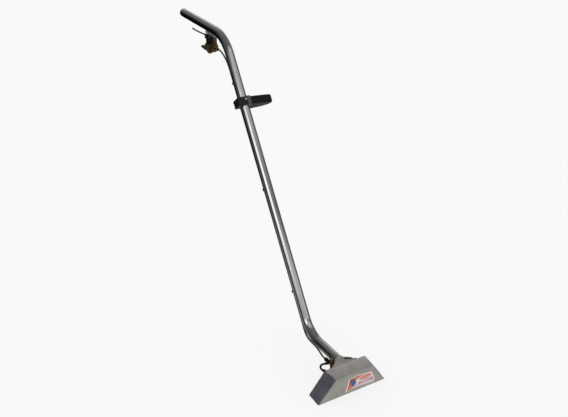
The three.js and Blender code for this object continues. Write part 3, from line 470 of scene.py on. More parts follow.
def turned_inward(faces):
    """Each face the other way round, from the same first vertex."""
    return [face[:1] + face[:0:-1] for face in faces]


def turn_to(direction):
    return Vector(direction).normalized().to_track_quat("Z", "Y").to_matrix()


def rounded_profile(profile, radius, steps=3):
    """[radius, along] corners, each eased by an arc-like curve no larger than a third of its edges."""
    eased = [Vector(profile[0])]
    for before, corner, after in zip(profile, profile[1:], profile[2:]):
        before, corner, after = Vector(before), Vector(corner), Vector(after)
        back, ahead = before - corner, after - corner
        reach = min(radius, back.length / 3, ahead.length / 3)
        start, end = corner + back.normalized() * reach, corner + ahead.normalized() * reach
        for step in range(steps + 1):
            t = step / steps
            eased.append(start * (1 - t) ** 2 + corner * 2 * t * (1 - t) + end * t * t)
    eased.append(Vector(profile[-1]))
    return eased


def lathe(profile, origin, axis, sides, outline=None):
    """Vertices and faces turned about an axis. The profile is [radius, distance along the axis] in mm, and it
    starts and ends on the axis, or goes round a bore. outline(angle, radius, along) may change the radius."""
    turn = turn_to(axis)
    closed = profile[0][0] > 0
    vertices, rings = [], []
    for radius, along in profile[:-1] if closed else profile:
        on_axis = radius < TINY
        rings.append([len(vertices) + (0 if on_axis else side) for side in range(sides)])
        for side in range(1 if on_axis else sides):
            angle = 2 * math.pi * side / sides
            reach = outline(angle, radius, along) if outline and not on_axis else radius
            spot = Vector((reach * math.cos(angle), reach * math.sin(angle), along))
            vertices.append(Vector(origin) + turn @ spot * MM)
    faces = []
    for low, high in zip(rings, rings[1:] + rings[:1] if closed else rings[1:]):
        for side in range(sides):
            ahead = (side + 1) % sides
            face = list(dict.fromkeys([low[side], low[ahead], high[ahead], high[side]]))
            if len(face) > 2:
                faces.append(face)
    return vertices, faces


def turned(name, profile, origin, axis, look, replaces=(), sides=40, ease=0.3, outline=None):
    """A turned piece with its corners eased, sizes in mm."""
    return piece(name, *lathe(rounded_profile(profile, ease), origin, axis, sides, outline), look, replaces)


def hexagonal(flats, low, high, above=0):
    """An outline that is a hexagon from low to high along the axis, with the corners of its ends turned off.
    Radii up to above, such as a bore's, are left round."""
    apothem = flats / 2

    def reach(angle, radius, along):
        if radius <= above + TINY or not low - TINY <= along <= high + TINY:
            return radius
        corner = apothem / math.cos((angle + math.pi / 6) % (math.pi / 3) - math.pi / 6)
        return min(corner, apothem * 0.97 + min(along - low, high - along) * 1.9)

    return reach


def toothed(teeth, depth, low, high, above):
    """An outline with grooves from low to high along the axis, on radii over above."""
    def reach(angle, radius, along):
        grooved = radius > above and low < along < high
        return radius - depth * (0.5 + 0.5 * math.cos(angle * teeth)) if grooved else radius

    return reach


def hex_nut(name, flats, length, bore, origin, axis, look, replaces=()):
    """A nut with turned-off corners and a bore, sizes in mm."""
    steps = [0, 0.25, 0.6, 1.0, 1.5]
    profile = [[bore, 0]] + [[flats / 2, s] for s in steps]
    profile += [[flats / 2, length - s] for s in reversed(steps)] + [[bore, length], [bore, 0]]
    turned(name, profile, origin, axis, look, replaces, sides=72, ease=0.05,
           outline=hexagonal(flats, 0, length, bore))


# ---------------- cutting, fusing and easing

def block(name, low, high, placed=lambda x, y, z: Vector((x, y, z)) * MM):
    """A box between two corners in mm, used only to cut or to be fused."""
    (x0, y0, z0), (x1, y1, z1) = low, high
    vertices = [placed(x, y, z) for z in (z0, z1) for x, y in ((x0, y0), (x1, y0), (x1, y1), (x0, y1))]
    return lump(name, vertices, capped(2, 4))


def rod(name, start, end, radius, sides):
    """A round bar, used only to cut."""
    turn = turn_to(end - start)
    ring = [turn @ Vector((x, y, 0)) for x, y in ring_points(radius, sides)]
    return lump(name, [start + spot for spot in ring] + [end + spot for spot in ring], capped(2, sides))


def blob(name, profile, origin, axis):
    """A turned lump, sizes in mm, used only to be fused into a casting."""
    return lump(name, *lathe([[0, profile[0][1]], *profile, [0, profile[-1][1]]], origin, axis, 36))


def cut_by(obj, tool):
    cut = obj.modifiers.new(tool.name, "BOOLEAN")
    cut.object = tool
    cut.operation = "DIFFERENCE"
    cut.solver = "EXACT"


def settled(obj, sharp=40):
    """Applies a piece's modifiers to its mesh, and removes the tools that cut it."""
    bpy.context.view_layer.update()
    mesh = bpy.data.meshes.new_from_object(obj.evaluated_get(bpy.context.evaluated_depsgraph_get()))
    tools = [modifier.object for modifier in obj.modifiers if modifier.type == "BOOLEAN"]
    obj.modifiers.clear()
    obj.data = mesh
    mesh.name = obj.name
    smoothed(mesh, sharp)
    for tool in tools:
        bpy.data.objects.remove(tool)


def from_bmesh(name, bm):
    mesh = bpy.data.meshes.new(name)
    bm.to_mesh(mesh)
    bm.free()
    return linked(name, mesh)


def fused(name, parts, cuts, voxel, smooth, look, replaces):
    """Overlapping lumps made into one casting or moulding with soft fillets, then bored. voxel is in mm."""
    bm = bmesh.new()
    for part in parts:
        bm.from_mesh(part.data)
        bpy.data.objects.remove(part)
    sharp = 50
    obj = dressed(from_bmesh(name, bm), look, replaces, sharp=sharp)
    skin = obj.modifiers.new("skin", "REMESH")
    skin.mode = "VOXEL"
    skin.voxel_size = voxel * MM
    soft = obj.modifiers.new("soft", "SMOOTH")
    soft.iterations = smooth
    soft.factor = 0.5
    settled(obj, sharp)
    for tool in cuts:
        cut_by(obj, tool)
    if cuts:
        settled(obj, sharp)


def eased_edges(obj, width, segments, angle):
    """Rounds the edges sharper than an angle in degrees. The width is in mm."""
    edges = obj.modifiers.new("eased_edges", "BEVEL")
    edges.width = width * MM
    edges.segments = segments
    edges.limit_method = "ANGLE"
    edges.angle_limit = math.radians(angle)
    return edges


# ---------------- pieces swept along a path

def bend_stations(corners, radii, steps, straight_step=40 * MM):
    """(point, direction) pairs along straight runs, each inner corner rounded to its own radius."""
    stations = []

    def run(start, end):
        count = max(1, round((end - start).length / straight_step))
        heading = (end - start).normalized()
        for i in range(count + 1):
            stations.append((start.lerp(end, i / count), heading))

    start = corners[0]
    for before, corner, after, radius in zip(corners, corners[1:], corners[2:], radii):
        heading, leaving = (corner - before).normalized(), (after - corner).normalized()
        angle = heading.angle(leaving)
        reach = radius * math.tan(angle / 2)
        inward = (leaving - heading * heading.dot(leaving)).normalized()
        run(start, corner - heading * reach)
        centre = corner - heading * reach + inward * radius
        for i in range(1, steps):
            turn = angle * i / steps
            point = centre - inward * radius * math.cos(turn) + heading * radius * math.sin(turn)
            stations.append((point, heading * math.cos(turn) + inward * math.sin(turn)))
        start = corner + leaving * reach
    run(start, corners[-1])
    return stations


def bezier(a, b, c, d, steps):
    """(point, direction) pairs along a cubic curve."""
    stations = []
    for i in range(steps + 1):
        t = i / steps
        s = 1 - t
        point = a * s ** 3 + b * 3 * s * s * t + c * 3 * s * t * t + d * t ** 3
        slope = (b - a) * s * s + (c - b) * 2 * s * t + (d - c) * t * t
        stations.append((point, slope.normalized()))
    return stations


def frames_along(stations, start_side):
    """A side and an up vector at each station, turned as little as possible from one to the next."""
    frames = []
    side = Vector(start_side)
    for _, direction in stations:
        side = (side - direction * side.dot(direction)).normalized()
        frames.append((side, direction.cross(side)))
    return frames


def swept(name, stations, section, look, replaces=(), start_side=ACROSS, **settings):
    """A solid along stations. section(i, length) gives the (side, up) points of station i, in metres, as many
    at each station."""
    lengths = [0.0]
    for (a, _), (b, _) in zip(stations, stations[1:]):
        lengths.append(lengths[-1] + (b - a).length)
    vertices = []
    for i, (side, up) in enumerate(frames_along(stations, start_side)):
        vertices += [stations[i][0] + side * s + up * u for s, u in section(i, lengths[i])]
    piece(name, vertices, capped(len(stations), len(vertices) // len(stations)), look, replaces, **settings)


def ring_points(radius, count):
    return [(radius * math.cos(2 * math.pi * k / count), radius * math.sin(2 * math.pi * k / count))
            for k in range(count)]


def rounded_ring(half_width, half_height, power, count, first=0.0):
    """Points of a rounded rectangle, spread evenly by angle. It is an ellipse at power 2, and a higher power
    has tighter corners. first is where the first point is, in steps."""
    ring = []
    for k in range(count):
        angle = 2 * math.pi * (k + first) / count
        c, s = math.cos(angle), math.sin(angle)
        reach = (abs(c / half_width) ** power + abs(s / half_height) ** power) ** (-1 / power)
        ring.append((reach * c, reach * s))
    return ring


def hollow_tube(name, stations, outer, bore, look, replaces, sides):
    """A pipe with rounded lips: its outer skin, its ends and its bore in one closed mesh.

    The UV map named run goes round the pipe and along it, in metres."""
    lip = (outer - bore) / 2
    middle = (outer + bore) / 2
    (start, heading), (end, leaving) = stations[0], stations[-1]
    run = [start + heading * lip] + [point for point, _ in stations[1:-1]] + [end - leaving * lip]
    arc = [(lip * (math.cos(a) - 1), lip * math.sin(a)) for a in map(math.radians, (60, 30, 0, -30, -60))]
    rings = [(point, outer) for point in run] + [(end + leaving * back, middle + rise) for back, rise in arc]
    rings += [(point, bore) for point in reversed(run)]
    rings += [(start - heading * back, middle - rise) for back, rise in arc]
    frames = frames_along(stations, ACROSS)
    sides_at = frames + [frames[-1]] * len(arc) + frames[::-1] + [frames[0]] * len(arc)
    lengths = [0.0]
    for (a, ra), (b, rb) in zip(rings, rings[1:]):
        lengths.append(lengths[-1] + math.hypot((b - a).length, rb - ra))
    vertices, faces, uvs = [], [], []
    for (point, radius), (side, up) in zip(rings, sides_at):
        vertices += [point + side * s + up * u for s, u in ring_points(radius, sides)]
    girth = 2 * math.pi * outer
    for i in range(len(rings)):
        after = (i + 1) % len(rings)
        end_length = lengths[after] if after else lengths[i] + lip
        faces += band(i * sides, after * sides, sides)
        for k in range(sides):
            around, further = girth * k / sides, girth * (k + 1) / sides
            uvs += [around, lengths[i], further, lengths[i], further, end_length, around, end_length]
    obj = piece(name, vertices, faces, look, replaces, sharp=50)
    obj.data.uv_layers.new(name="run").data.foreach_set("uv", uvs)
    return obj


def headed(points, closed=False):
    """(point, direction) pairs. A direction runs between the neighbours on both sides."""
    first, last = (points[-1], points[0]) if closed else (points[0], points[-1])
    neighbours = zip([first] + points, points[1:] + [last])
    return [(here, (after - before).normalized()) for here, (before, after) in zip(points, neighbours)]


def weld_bead(name, points, width, height, seed, normal, replaces=(), closed=False):
    """A ripple of weld metal along points: overlapping flat scallops with an uneven edge."""
    spacing = 0.45 * MM
    dense = []
    loop = points + points[:1] if closed else points
    for a, b in zip(loop, loop[1:]):
        count = max(1, round((b - a).length / spacing))
        dense += [a.lerp(b, i / count) for i in range(count)]
    if not closed:
        dense.append(loop[-1])
    stations = headed(dense, closed)
    if closed:
        stations.append(stations[0])
    phase = random.Random(seed).uniform(0, 6)

    def section(i, length):
        ripple = 1 + 0.16 * abs(math.sin(length / (1.5 * MM) * math.pi + phase))
        wander = 1 + 0.12 * noise.noise(Vector((length * 260, seed, 0)))
        taper = 1.0 if closed else min(1.0, 0.35 + 0.3 * min(i, len(stations) - 1 - i))
        return [(width * wander * taper * c, height * ripple * taper * s) for c, s in ring_points(1, 10)]

    swept(name, stations, section, "satin_steel", replaces, start_side=normal, sharp=60)


# ---------------- the vacuum tube and the solution line

tube_stations = bend_stations(
    [HANDLE_END, UPPER_CORNER, LOWER_CORNER, TUBE_FOOT], [UPPER_BEND, LOWER_BEND], steps=40
)
hollow_tube("vacuum_tube", tube_stations, TUBE_RADIUS, TUBE_BORE, "swept_steel", ["main_tube", "handle_tube"],
            sides=72)

LINE_RADIUS = 3.2 * MM
LINE_BORE = 2.2 * MM
LINE_OFF = 19.7 * MM  # from the tube's axis to the line's
LINE_AROUND = math.radians(20)
LINE_AROUND_FOOT = math.radians(84)


def beside_tube(point, direction, around):
    """A point of the solution line: around is its turn from the tube's underside towards the left."""
    under = ACROSS.cross(direction).normalized()
    return point + (under * math.cos(around) - ACROSS * math.sin(around)) * LINE_OFF


def line_route():
    """From the valve's outlet, down the tube and round its lower bend, to the fitting behind the head."""
    down = -uphill(MIDDLE_TILT)
    start = beside_tube(UPPER_CORNER + down * 120 * MM, down, LINE_AROUND)
    bend = [s for s in tube_stations if 0.1 < s[0].y < 0.35 and s[0].z < 0.2]
    straight_on = 1e-4
    turning = [s for s in bend if min(s[1].angle(down), s[1].angle(-uphill(LOWER_TILT))) > straight_on]
    around = []
    for i in range(len(turning)):
        share = (i + 1) / (len(turning) + 1)
        around.append(LINE_AROUND + (LINE_AROUND_FOOT - LINE_AROUND) * share * share * (3 - 2 * share))
    bent = [beside_tube(p, d, a) for (p, d), a in zip(turning, around)]
    outlet_low, outlet_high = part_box("outlet_nut")
    outlet = Vector((0, outlet_high.y - 3.4 * MM, (outlet_low.z + outlet_high.z) / 2))
    nut_low, nut_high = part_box("line_nut")
    inlet = Vector(((nut_low.x + nut_high.x) / 2, nut_low.y + 2 * MM, (nut_low.z + nut_high.z) / 2))
    straight = 13 * MM
    top = bezier(outlet + FORWARD * straight, outlet + FORWARD * (straight + 24 * MM), start - down * 42 * MM,
                 start, 24)
    leaving = (bent[-1] - bent[-2]).normalized()
    foot = bezier(bent[-1], bent[-1] + leaving * 34 * MM, inlet - FORWARD * (straight + 22 * MM),
                  inlet - FORWARD * straight, 20)
    count = 30
    first_bent = beside_tube(*[s for s in bend if s[1].angle(down) < straight_on][-1], LINE_AROUND)
    middle = [(start.lerp(first_bent, i / count), down) for i in range(1, count + 1)]
    curved = headed([first_bent] + bent)[1:]
    return [(outlet, FORWARD)] + top + middle + curved + foot[1:] + [(inlet, FORWARD)]


hollow_tube("solution_pipe", line_route(), LINE_RADIUS, LINE_BORE, "swept_steel", ["solution_line"], sides=24)


# ---------------- CAD pieces that keep their shape

def kept(node, look, ease):
    """A CAD piece shown as it is, with a better material and edges eased by ease mm."""
    sharp = 35
    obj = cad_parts[node]
    obj.data.materials.clear()
    obj.data.materials.append(LOOKS[look])
    smoothed(obj.data, sharp)
    if ease:
        eased_edges(obj, ease, 3, sharp).harden_normals = True


KEPT = {  # look and eased edge, in mm
    **{f"line_saddle_{number}": ("polished_steel", 0.4) for number in (1, 2, 3)},
    **{f"manifold_bracket_{side}": ("satin_steel", 0.4) for side in ("left", "right")},
    "head_slot_baffle": ("satin_steel", 0.4),
    # the strap's look is steel with painted sheen
    "valve_strap": ("zinc_plate", 0.8),
    "valve_stem": ("polished_steel", 0.2),
    "stem_o_ring": ("black_rubber", 0),
    "poppet_seal": ("black_rubber", 0.2),
    "valve_spring": ("polished_steel", 0),
    "outlet_ferrule": ("aged_brass", 0.2),
    "spray_manifold": ("aged_brass", 0.7),
    "valve_bonnet": ("black_plastic", 0.8),
    "grip_clamp_cap": ("clamp_plastic", 1.4),
    "grip_band": ("dull_band", 0.5),
}
for node, (look, ease) in KEPT.items():
    kept(node, look, ease)


# ---------------- the floor head

FRONT_Y = -29 * MM + LIP
BACK_Y = 29 * MM + LIP
CREASE_Y = FRONT_Y - 12.5 * MM
CREASE_Z = 78 * MM
TOP_BACK_Y = 15 * MM + LIP
TOP_BACK_Z = 81 * MM
HALF_FRONT, HALF_BACK, HALF_CREASE, HALF_TOP_BACK = 126.7 * MM, 124 * MM, 70 * MM, 76 * MM
SHEET = 2 * MM


def walled(obj, offset):
    """Gives a skin the sheet's thickness, inwards for -1 and outwards for 1."""
    wall = obj.modifiers.new("sheet", "SOLIDIFY")
    wall.thickness = SHEET
    wall.offset = offset
    return wall


def folded_head():
    """The head's five plates as one folded shell: rounded folds, an open floor and 2 mm walls."""
    bm = bmesh.new()

    def corners(front_half, front_y, front_z, back_half, back_y, back_z):
        return [Vector((front_half * side, front_y, front_z)) for side in (-1, 1)] + [
            Vector((back_half * side, back_y, back_z)) for side in (1, -1)]

    top_ring = corners(HALF_CREASE, CREASE_Y, CREASE_Z, HALF_TOP_BACK, TOP_BACK_Y, TOP_BACK_Z)
    floor_ring = corners(HALF_FRONT, FRONT_Y, 0, HALF_BACK, BACK_Y, 0)
    spare = 4 * MM  # the plates run on below the floor, and are cut off level with it
    low = [bm.verts.new(foot - (top - foot) * (spare / top.z)) for foot, top in zip(floor_ring, top_ring)]
    high = [bm.verts.new(top) for top in top_ring]
    bm.faces.new(high)
    for i in range(4):
        j = (i + 1) % 4
        bm.faces.new((low[i], low[j], high[j], high[i]))
    folds = [e for e in bm.edges if not e.is_boundary]
    bmesh.ops.bevel(bm, geom=folds, offset=3.2 * MM, segments=5, profile=0.5, affect="EDGES",
                    clamp_overlap=True)
    bmesh.ops.recalc_face_normals(bm, faces=bm.faces[:])
    inside = Vector((0, 28 * MM, 30 * MM))
    if sum(f.normal.dot(f.calc_center_median() - inside) for f in bm.faces) < 0:
        bmesh.ops.reverse_faces(bm, faces=bm.faces[:])
    plates = ["front_plate", "top_plate", "back_plate", "left_end_plate", "right_end_plate"]
    obj = dressed(from_bmesh("head_shell", bm), "satin_steel", [f"head_{plate}" for plate in plates])
    # the end faces take the upright copy, whose bluish tint is a painted reflection
    obj.data.materials.append(LOOKS["satin_steel_upright"])
    for polygon in obj.data.polygons:
        polygon.material_index = 1 if abs(polygon.normal.x) > 0.6 else 0
    walled(obj, -1).use_even_offset = True
    cut_by(obj, block("neck_mouth", (-56, 36, 41), (56, 62, 77)))
    cut_by(obj, block("below_floor", (-160, -40, -20), (160, 80, 0)))
    eased_edges(obj, 0.5, 2, 50)
    settled(obj)


RELIEF_ENDS = ((11, 57.5), (28, 50.6))  # x, y in mm
RELIEF_RADIUS = 4.2


def relief_cutter():
    """The round-ended slot in the neck's top."""
    start, end = (Vector(spot) for spot in RELIEF_ENDS)
    heading = math.atan2(*(end - start).yx)
    turns = [heading + math.pi * step / 12 for step in range(13)]
    half_round = [Vector((math.sin(turn), -math.cos(turn))) * RELIEF_RADIUS for turn in turns]
    outline = [end + spot for spot in half_round] + [start - spot for spot in half_round]
    vertices = [(x * MM, y * MM, z * MM) for z in (70, 100) for x, y in outline]
    return lump("relief", vertices, capped(2, len(outline)))


def neck():
    """The funnel from the head's back to the tube: a flat oblong at the head that closes to a round."""
    at_head = (38.2, 59.5, 39.5, 80.3)  # y, half the width, low z and high z, in mm
    at_collar = (70.2, 18.2, 50.0, 86.8)
    steps, count = 16, 48
    vertices = []
    for i in range(steps + 1):
        t = i / steps
        ease = t * t * (3 - 2 * t)
        narrowing = 0.25 * t + 0.75 * (1 - (1 - t) ** 1.35)
        shares = (t, narrowing, t, ease)
        y, half, low, high = (a + (b - a) * share for a, b, share in zip(at_head, at_collar, shares))
        ring = rounded_ring(half, (high - low) / 2, 2 + 12.6 * (1 - ease ** 1.5), count)
        vertices += [(x * MM, y * MM, ((low + high) / 2 + z) * MM) for x, z in ring]
    faces = [face for i in range(steps) for face in band(i * count, (i + 1) * count, count)]
    obj = piece("head_funnel", vertices, faces, "satin_steel", ["head_neck"])
    walled(obj, 1)
    cut_by(obj, relief_cutter())
    settled(obj)


folded_head()
neck()
foot_axis = uphill(LOWER_TILT)
collar_middle = LOWER_CORNER - foot_axis * (LOWER_CORNER.y - 74.4 * MM) / math.cos(LOWER_TILT)
collar_up = foot_axis.cross(ACROSS)
weld_bead(
    "collar_weld",
    [collar_middle + ACROSS * x + collar_up * z for x, z in ring_points(TUBE_RADIUS + 1.1 * MM, 40)],
    2.6 * MM, 2.2 * MM, seed=3, normal=foot_axis, replaces=["tube_collar"], closed=True,
)
weld_bead(
    "funnel_weld_top",
    [Vector((x * MM, (44.2 + 0.3 * math.sin(x)) * MM, 81.4 * MM)) for x in range(-44, 45, 4)],
    1.7 * MM, 0.9 * MM, seed=5, normal=(0, 1, 0),
)


def sticker():
    """The label: a thin sheet on the front plate, inside the CAD label's outline."""
    outline = []
    corners = [(-29, 9), (-23, 60), (2, 67), (63, 59), (82, 20), (78, 8)]  # across, and up the plate, in mm
    bows = [(-24, 35), (-10, 63.5), (33, 63), (76, 38), (80, 14), (20, 20)]
    for a, b, c, steps in zip(corners, bows, corners[1:] + corners[:1], (14, 8, 12, 12, 5, 26)):
        for t in (i / steps for i in range(steps)):
            outline.append([p * (1 - t) ** 2 + q * 2 * t * (1 - t) + r * t * t for p, q, r in zip(a, b, c)])
    middle = (27, 36)
    lean = math.atan2(12.5, 78)

    def placed(x, along, lift):
        y = FRONT_Y - along * MM * math.sin(lean) - lift * MM * math.cos(lean)
        return (x * MM, y, along * MM * math.cos(lean) - lift * MM * math.sin(lean))

    vertices, border = [], []
    rings = [  # share of the outline's size, ink, lift off the plate in mm
        (1.0, 0.0, 0.02), (1.0, 0.0, 0.2), (0.993, 0.0, 0.3), (0.93, 0.2, 0.31), (0.90, 1.0, 0.32),
        (0.6, 1.0, 0.34), (0.3, 1.0, 0.34),
    ]
    for share, ink, lift in rings:
        for spot in outline:
            x, along = (m + (p - m) * share for m, p in zip(middle, spot))
            vertices.append(placed(x, along, lift))
            border.append(ink)
    faces = turned_inward(capped(len(rings), len(outline)))
    obj = piece("front_sticker", vertices, faces, "sticker", ["front_label"])
    obj.data.attributes.new("border", "FLOAT", "POINT").data.foreach_set("value", border)


sticker()

# ---------------- the trigger valve

PIVOT = laid(0, 925, 969)


def valve_casting():
    bowl = [[4.8, 904.2], [6, 904.2], [9.2, 907.6], [11.2, 912], [11.6, 916], [11.6, 937], [11, 939]]
    lumps = [
        blob("bowl", bowl, laid(0, 911, 0), UP),
        block("run", (-8.9, 900, 913.4), (8.9, 959.4, 940.6)),
        block("top_pad", (-9.3, 882.4, 932.5), (9.3, 959.4, 940.7)),
        blob("outlet_boss", [[7.4, 0], [7.4, 26]], (0, 881.6 * MM, 928.4 * MM), -FORWARD),
        blob("inlet_boss", [[9.3, 0], [9.3, 26]], (0, 934 * MM, 922.2 * MM), -FORWARD),
        blob("riser_boss", [[9, 0], [9, 12]], (0, 893 * MM, 928.7 * MM), UP),
    ]
    fused("valve_casting", lumps, [], 0.55, 5, "aged_brass", ["valve_body"])


def lever():
    """The trigger: a bar of oval section that widens a little into a pad over the stem."""
    route = [  # from the pivot: along, up; half the thickness and half the width
        (-20, -1.3, 1.3, 2.9), (-16, -0.5, 1.9, 4.1), (-8, -0.2, 3.2, 4.3), (0, 0, 4.0, 4.3),
        (7, -0.1, 3.6, 4.2), (16, 0.2, 2.5, 4.0), (30, 0.6, 2.2, 3.9), (53, 1.25, 2.1, 3.9),
        (80, 3.6, 1.95, 3.9), (110, 6.7, 1.8, 4.0), (126, 8.8, 1.7, 4.1), (132, 10.2, 1.65, 4.0),
        (135.4, 11.4, 1.2, 3.2),
    ]
    spots = [PIVOT + Vector((0, along, up)) * MM for along, up, _, _ in route]
    steps = 6  # between one place of the route and the next
    stations, sizes = [], []
    for i in range(len(spots) - 1):
        before = spots[max(i - 1, 0)]
        after = spots[min(i + 2, len(spots) - 1)]
        a, d = spots[i], spots[i + 1]
        part = bezier(a, a + (d - before) / 6, d - (after - a) / 6, d, steps)
        for k in range(steps if i < len(spots) - 2 else steps + 1):
            t = k / steps
            stations.append(part[k])
            sizes.append([route[i][j] * (1 - t) + route[i + 1][j] * t for j in (2, 3)])

    def section(i, length):
        thick, half = sizes[i]
        return [(math.copysign(abs(c) ** 0.5, c) * half * MM, math.copysign(abs(s) ** 0.6, s) * thick * MM)
                for c, s in ring_points(1, 28)]

    swept("trigger_blade", stations, section, "dark_steel", ["trigger_lever"], body="trigger")


valve_casting()
lever()
RISER = [[0, 941], [9, 941], [9, 947.5], [7.6, 948.6], [7.6, 962], [8.8, 963.2], [8.8, 973.5], [0, 973.5]]
PIN = [[0, -11.8], [3.4, -11.8], [3.6, -11.2], [3.6, -9.3], [2.25, -9.3], [2.25, 10.2], [1.7, 11], [0, 11]]
SPIGOT = [[3.2, 2], [9, 2], [9, 12.6], [6.2, 12.9], [6.2, 19.6], [8, 22], [8, 26.6], [6.2, 29.2], [6.2, 36.6],
          [5.2, 38.6], [5.2, 45], [3.2, 45], [3.2, 2]]
riser_hexagon = hexagonal(17.2, 940.8, 947.8)
turned("riser_post", RISER, (0, 893 * MM, 0), UP, "aged_brass", ["valve_riser"], sides=72, ease=0.5,
       outline=lambda angle, radius, along: min(radius, riser_hexagon(angle, radius, along)))
turned("pivot_pin", PIN, PIVOT, ACROSS, "polished_steel", ["trigger_pin"])
inlet_face = laid(0, 932.3, 922)
turned("inlet_spigot", SPIGOT, inlet_face, -FORWARD, "aged_brass", ["inlet_nipple"], ease=0.5)
hex_nut("inlet_hexagon", 20.6, 11.6, 5.5, inlet_face, -FORWARD, "aged_brass")
hex_nut("outlet_gland", 12.4, 11, 3.5, laid(0, 853.4, 928), FORWARD, "aged_brass", ["outlet_nut"])

# ---------------- the spray fittings

hex_nut("line_gland", 10.8, 9.8, 3.5, laid(-26, 85, 63), FORWARD, "dark_steel", ["line_nut"])

ADAPTER = [[0, 0], [5.8, 0], [6.8, 1.4], [6.8, 3.2], [6.5, 3.8], [6.5, 13.2], [6.8, 13.8], [6.8, 15],
           [5.4, 17.2], [4, 18], [0, 18]]
BRANCH = [[2, 0], [5.4, 0], [5.4, 6.4], [4.7, 7], [4.7, 8.1], [2, 8.1], [2, 0]]
turned("adapter_body", ADAPTER, laid(-26, 79.4, 63), FORWARD, "black_plastic", ["hose_adapter"], sides=56,
       ease=0.6, outline=toothed(14, 0.4, 3.5, 13.5, 6.3))
turned("adapter_branch", BRANCH, laid(-26, 61.5, 63), -ACROSS, "black_plastic", ease=0.5)

hose_turn = laid(-66, 52.5, 66.5)
hose_path = bezier(laid(-35.4, 61.5, 63), laid(-49, 60.5, 66), laid(-63, 57.5, 71), hose_turn, 22)[:-1]
hose_path += bezier(hose_turn, laid(-68, 47, 62.4), laid(-66, 44.9, 60.4), laid(-56.5, 46.2, 52.3), 22)
hollow_tube("spray_hose", hose_path, 3.2 * MM, 1.6 * MM, "black_rubber", ["jet_hose"], sides=28)

FERRULE = [[3.3, 0.3], [4.4, 0.3], [4.5, 1.2], [4.4, 1.6], [4.4, 4.4], [4.5, 4.8], [4.4, 5.6], [3.3, 5.6],
           [3.3, 0.3]]
(hose_start, hose_leaving), (hose_end, hose_arriving) = hose_path[0], hose_path[-1]
for end, place, axis in (("upper", hose_start, hose_leaving), ("lower", hose_end, -hose_arriving)):
    turned(f"crimp_{end}", FERRULE, place, axis, "dark_steel", [f"hose_ferrule_{end}"], sides=48, ease=0.2,
           outline=toothed(8, 0.36, 1.2, 4.8, 4.2))

elbow_corners = [laid(-46.5, 47.5, 44), laid(-49.2, 47.6, 35), laid(-44.2, 47.8, 35)]
elbow_path = bend_stations([hose_end + hose_arriving * 0.4 * MM] + elbow_corners, [6 * MM, 3 * MM], steps=10,
                           straight_step=3 * MM)
swept("hose_elbow", elbow_path, lambda i, length: ring_points((4.9 if i > 3 else 5.2) * MM, 28), "aged_brass",
      ["manifold_elbow"], start_side=(0, 1, 0))

BARREL = [[2.4, 0], [6.2, 0], [6.6, 0.5], [6.6, 5.6], [5.6, 6.8], [5.6, 15.2], [6.8, 16.2], [6.8, 20],
          [6.3, 20.6], [6.3, 22.2], [6.8, 22.8], [6.8, 41.6], [5.8, 43.4], [1, 43.4], [0.6, 43], [0.6, 41],
          [2.4, 39], [2.4, 0]]
PLUG = [[2.4, 0], [6.2, 0], [6.6, 0.5], [6.6, 4], [4.8, 5], [4.8, 9], [4, 10], [1, 10], [0.6, 9.6], [0.6, 8],
        [2.4, 6], [2.4, 0]]
JET_BODY = [[1.8, 0], [6, 0], [6.4, 0.5], [6.4, 6.6], [4.6, 7.4], [4.6, 13], [1.8, 13], [1.8, 0]]
JET_CAP = [[4.9, 8.2], [6.6, 8.2], [7, 8.8], [7, 15.4], [6, 16.5], [3.2, 16.5], [3.2, 15], [4.9, 15],
           [4.9, 8.2]]
JET_TIP = [[0.8, 13.3], [4.4, 13.3], [4.4, 14.7], [2.9, 14.7], [2.9, 17.5], [1.8, 19.2], [0.8, 19.2],
           [0.8, 13.3]]
SCREW = [[0, 0], [2.2, 0], [3.3, 0.7], [3.6, 1.8], [3.6, 2.9], [1.9, 2.9], [1.9, 5.5], [0, 5.5]]

turned("strainer", BARREL, laid(-26.2, 48, 42.3), UP, "aged_brass", ["strainer_barrel"], sides=72, ease=0.4,
       outline=toothed(18, 0.4, 23.2, 39, 5.9))
turned("manifold_cap", PLUG, laid(26.2, 48, 42.3), UP, "aged_brass", ["manifold_plug"], sides=72, ease=0.4)
for side, name in ((-1, "left"), (1, "right")):
    jet_top = laid(side * 27.5, 48, 27.7)
    turned(f"jet_holder_{name}", JET_BODY, jet_top, -UP, "aged_brass", [f"jet_body_{name}"], sides=72,
           outline=toothed(6, 0.3, 0.9, 6.2, 5.9))
    turned(f"jet_collar_{name}", JET_CAP, jet_top, -UP, "black_plastic", [f"jet_cap_{name}"], sides=72,
           outline=toothed(12, 0.5, 9, 15, 5.9))
    turned(f"jet_nozzle_{name}", JET_TIP, jet_top, -UP, "aged_brass", [f"jet_tip_{name}"])
    turned(f"bracket_bolt_{name}", SCREW, laid(side * 12, 48, 22.4), UP, "dark_steel",
           [f"bracket_screw_{name}"])

# ---------------- the front grip

GRIP_MIDDLE = UPPER_CORNER - uphill(MIDDLE_TILT) * 248 * MM
GRIP_TURN = Matrix.Rotation(MIDDLE_TILT - math.pi / 2, 3, "X")


def on_grip(x, y, z):
    """A point of the grip's own frame: z up along the tube, -y to the front, x across."""
    return GRIP_MIDDLE + GRIP_TURN @ Vector((x, y, z)) * MM


def grip_axis(x, y, z):
    return GRIP_TURN @ Vector((x, y, z))


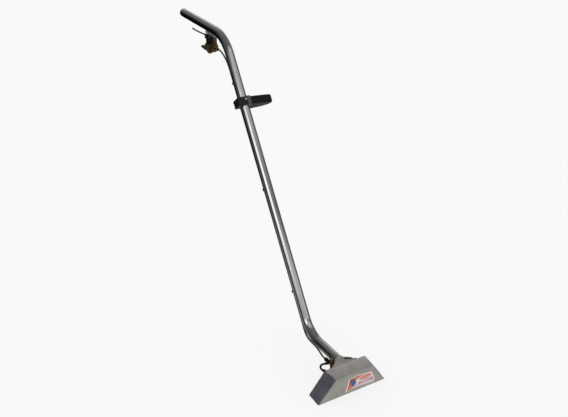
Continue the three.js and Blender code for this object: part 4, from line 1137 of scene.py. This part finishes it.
def handle():
    """The moulded handle: rounded sections along x, flat in front and bellied behind."""
    vertices, count = [], 60
    shape = [  # across, front, back, top, floor at the front, floor at the back, squareness
        (20.8, -20.3, 23.6, 14.4, -13.6, -19.6, 13), (28, -20.3, 23.0, 14.4, -13.9, -19.8, 12),
        (45, -20.1, 21.4, 14.2, -14.4, -19.4, 11), (62, -19.7, 19.6, 13.9, -15.0, -18.8, 10),
        (76, -19.3, 17.0, 13.6, -15.6, -18.2, 9), (88, -18.9, 11.6, 13.3, -16.2, -17.8, 8),
        (96, -18.6, 5.0, 13.0, -16.6, -17.4, 7), (101, -17.6, -2.0, 12.5, -16.4, -16.8, 5),
        (103.2, -15.6, -6.6, 10.8, -14.6, -14.8, 4), (103.9, -13.8, -9.4, 6.8, -10.6, -10.6, 3),
    ]
    for across, front, back, top, front_floor, back_floor, power in shape:
        for deep, high in rounded_ring(0.5, 0.5, power, count, 0.5):
            floor_here = front_floor + (back_floor - front_floor) * (0.5 + deep)
            height = floor_here + (top - floor_here) * (0.5 + high)
            vertices.append(on_grip(across, front + (back - front) * (0.5 + deep), height))
    return lump("handle", vertices, turned_inward(capped(len(shape), count)))


def moulded_grip():
    line_x = -LINE_OFF / MM * math.sin(LINE_AROUND)
    line_y = LINE_OFF / MM * math.cos(LINE_AROUND)
    cuts = [
        rod("tube_bore", on_grip(0, 0, -40), on_grip(0, 0, 40), 16.2 * MM, 64),
        rod("line_bore", on_grip(line_x, line_y, -40), on_grip(line_x, line_y, 40), 4 * MM, 32),
    ]
    lumps = [block("clamp_half", (-26.8, 0.3, -14.4), (23, 23.8, 14.4), on_grip), handle()]
    fused("moulded_grip", lumps, cuts, 0.65, 4, "black_plastic", ["grip_body"])


moulded_grip()
CAP_SCREW = [[0, 0], [3.1, 0], [4.3, 0.9], [4.6, 2.2], [4.6, 4.9], [1.9, 4.9], [1.9, 9], [0, 9]]
turned("clamp_screw_head", CAP_SCREW, on_grip(0, -25.7, 4), grip_axis(0, 1, 0), "polished_steel",
       ["grip_clamp_screw"], ease=0.5)
CLAMP_BOLT = [[0, -4.4], [3.2, -4.4], [4, -3.7], [4, -0.3], [1.9, -0.3], [1.9, 36], [1.4, 40], [0, 40]]
for number, height in ((1, -9), (2, 9)):
    turned(f"grip_bolt_head_{number}", CLAMP_BOLT, on_grip(-21.8, 24, height), grip_axis(0, -1, 0),
           "polished_steel", [f"grip_bolt_{number}"], sides=72, outline=hexagonal(7, -4.6, 0, 2.5))
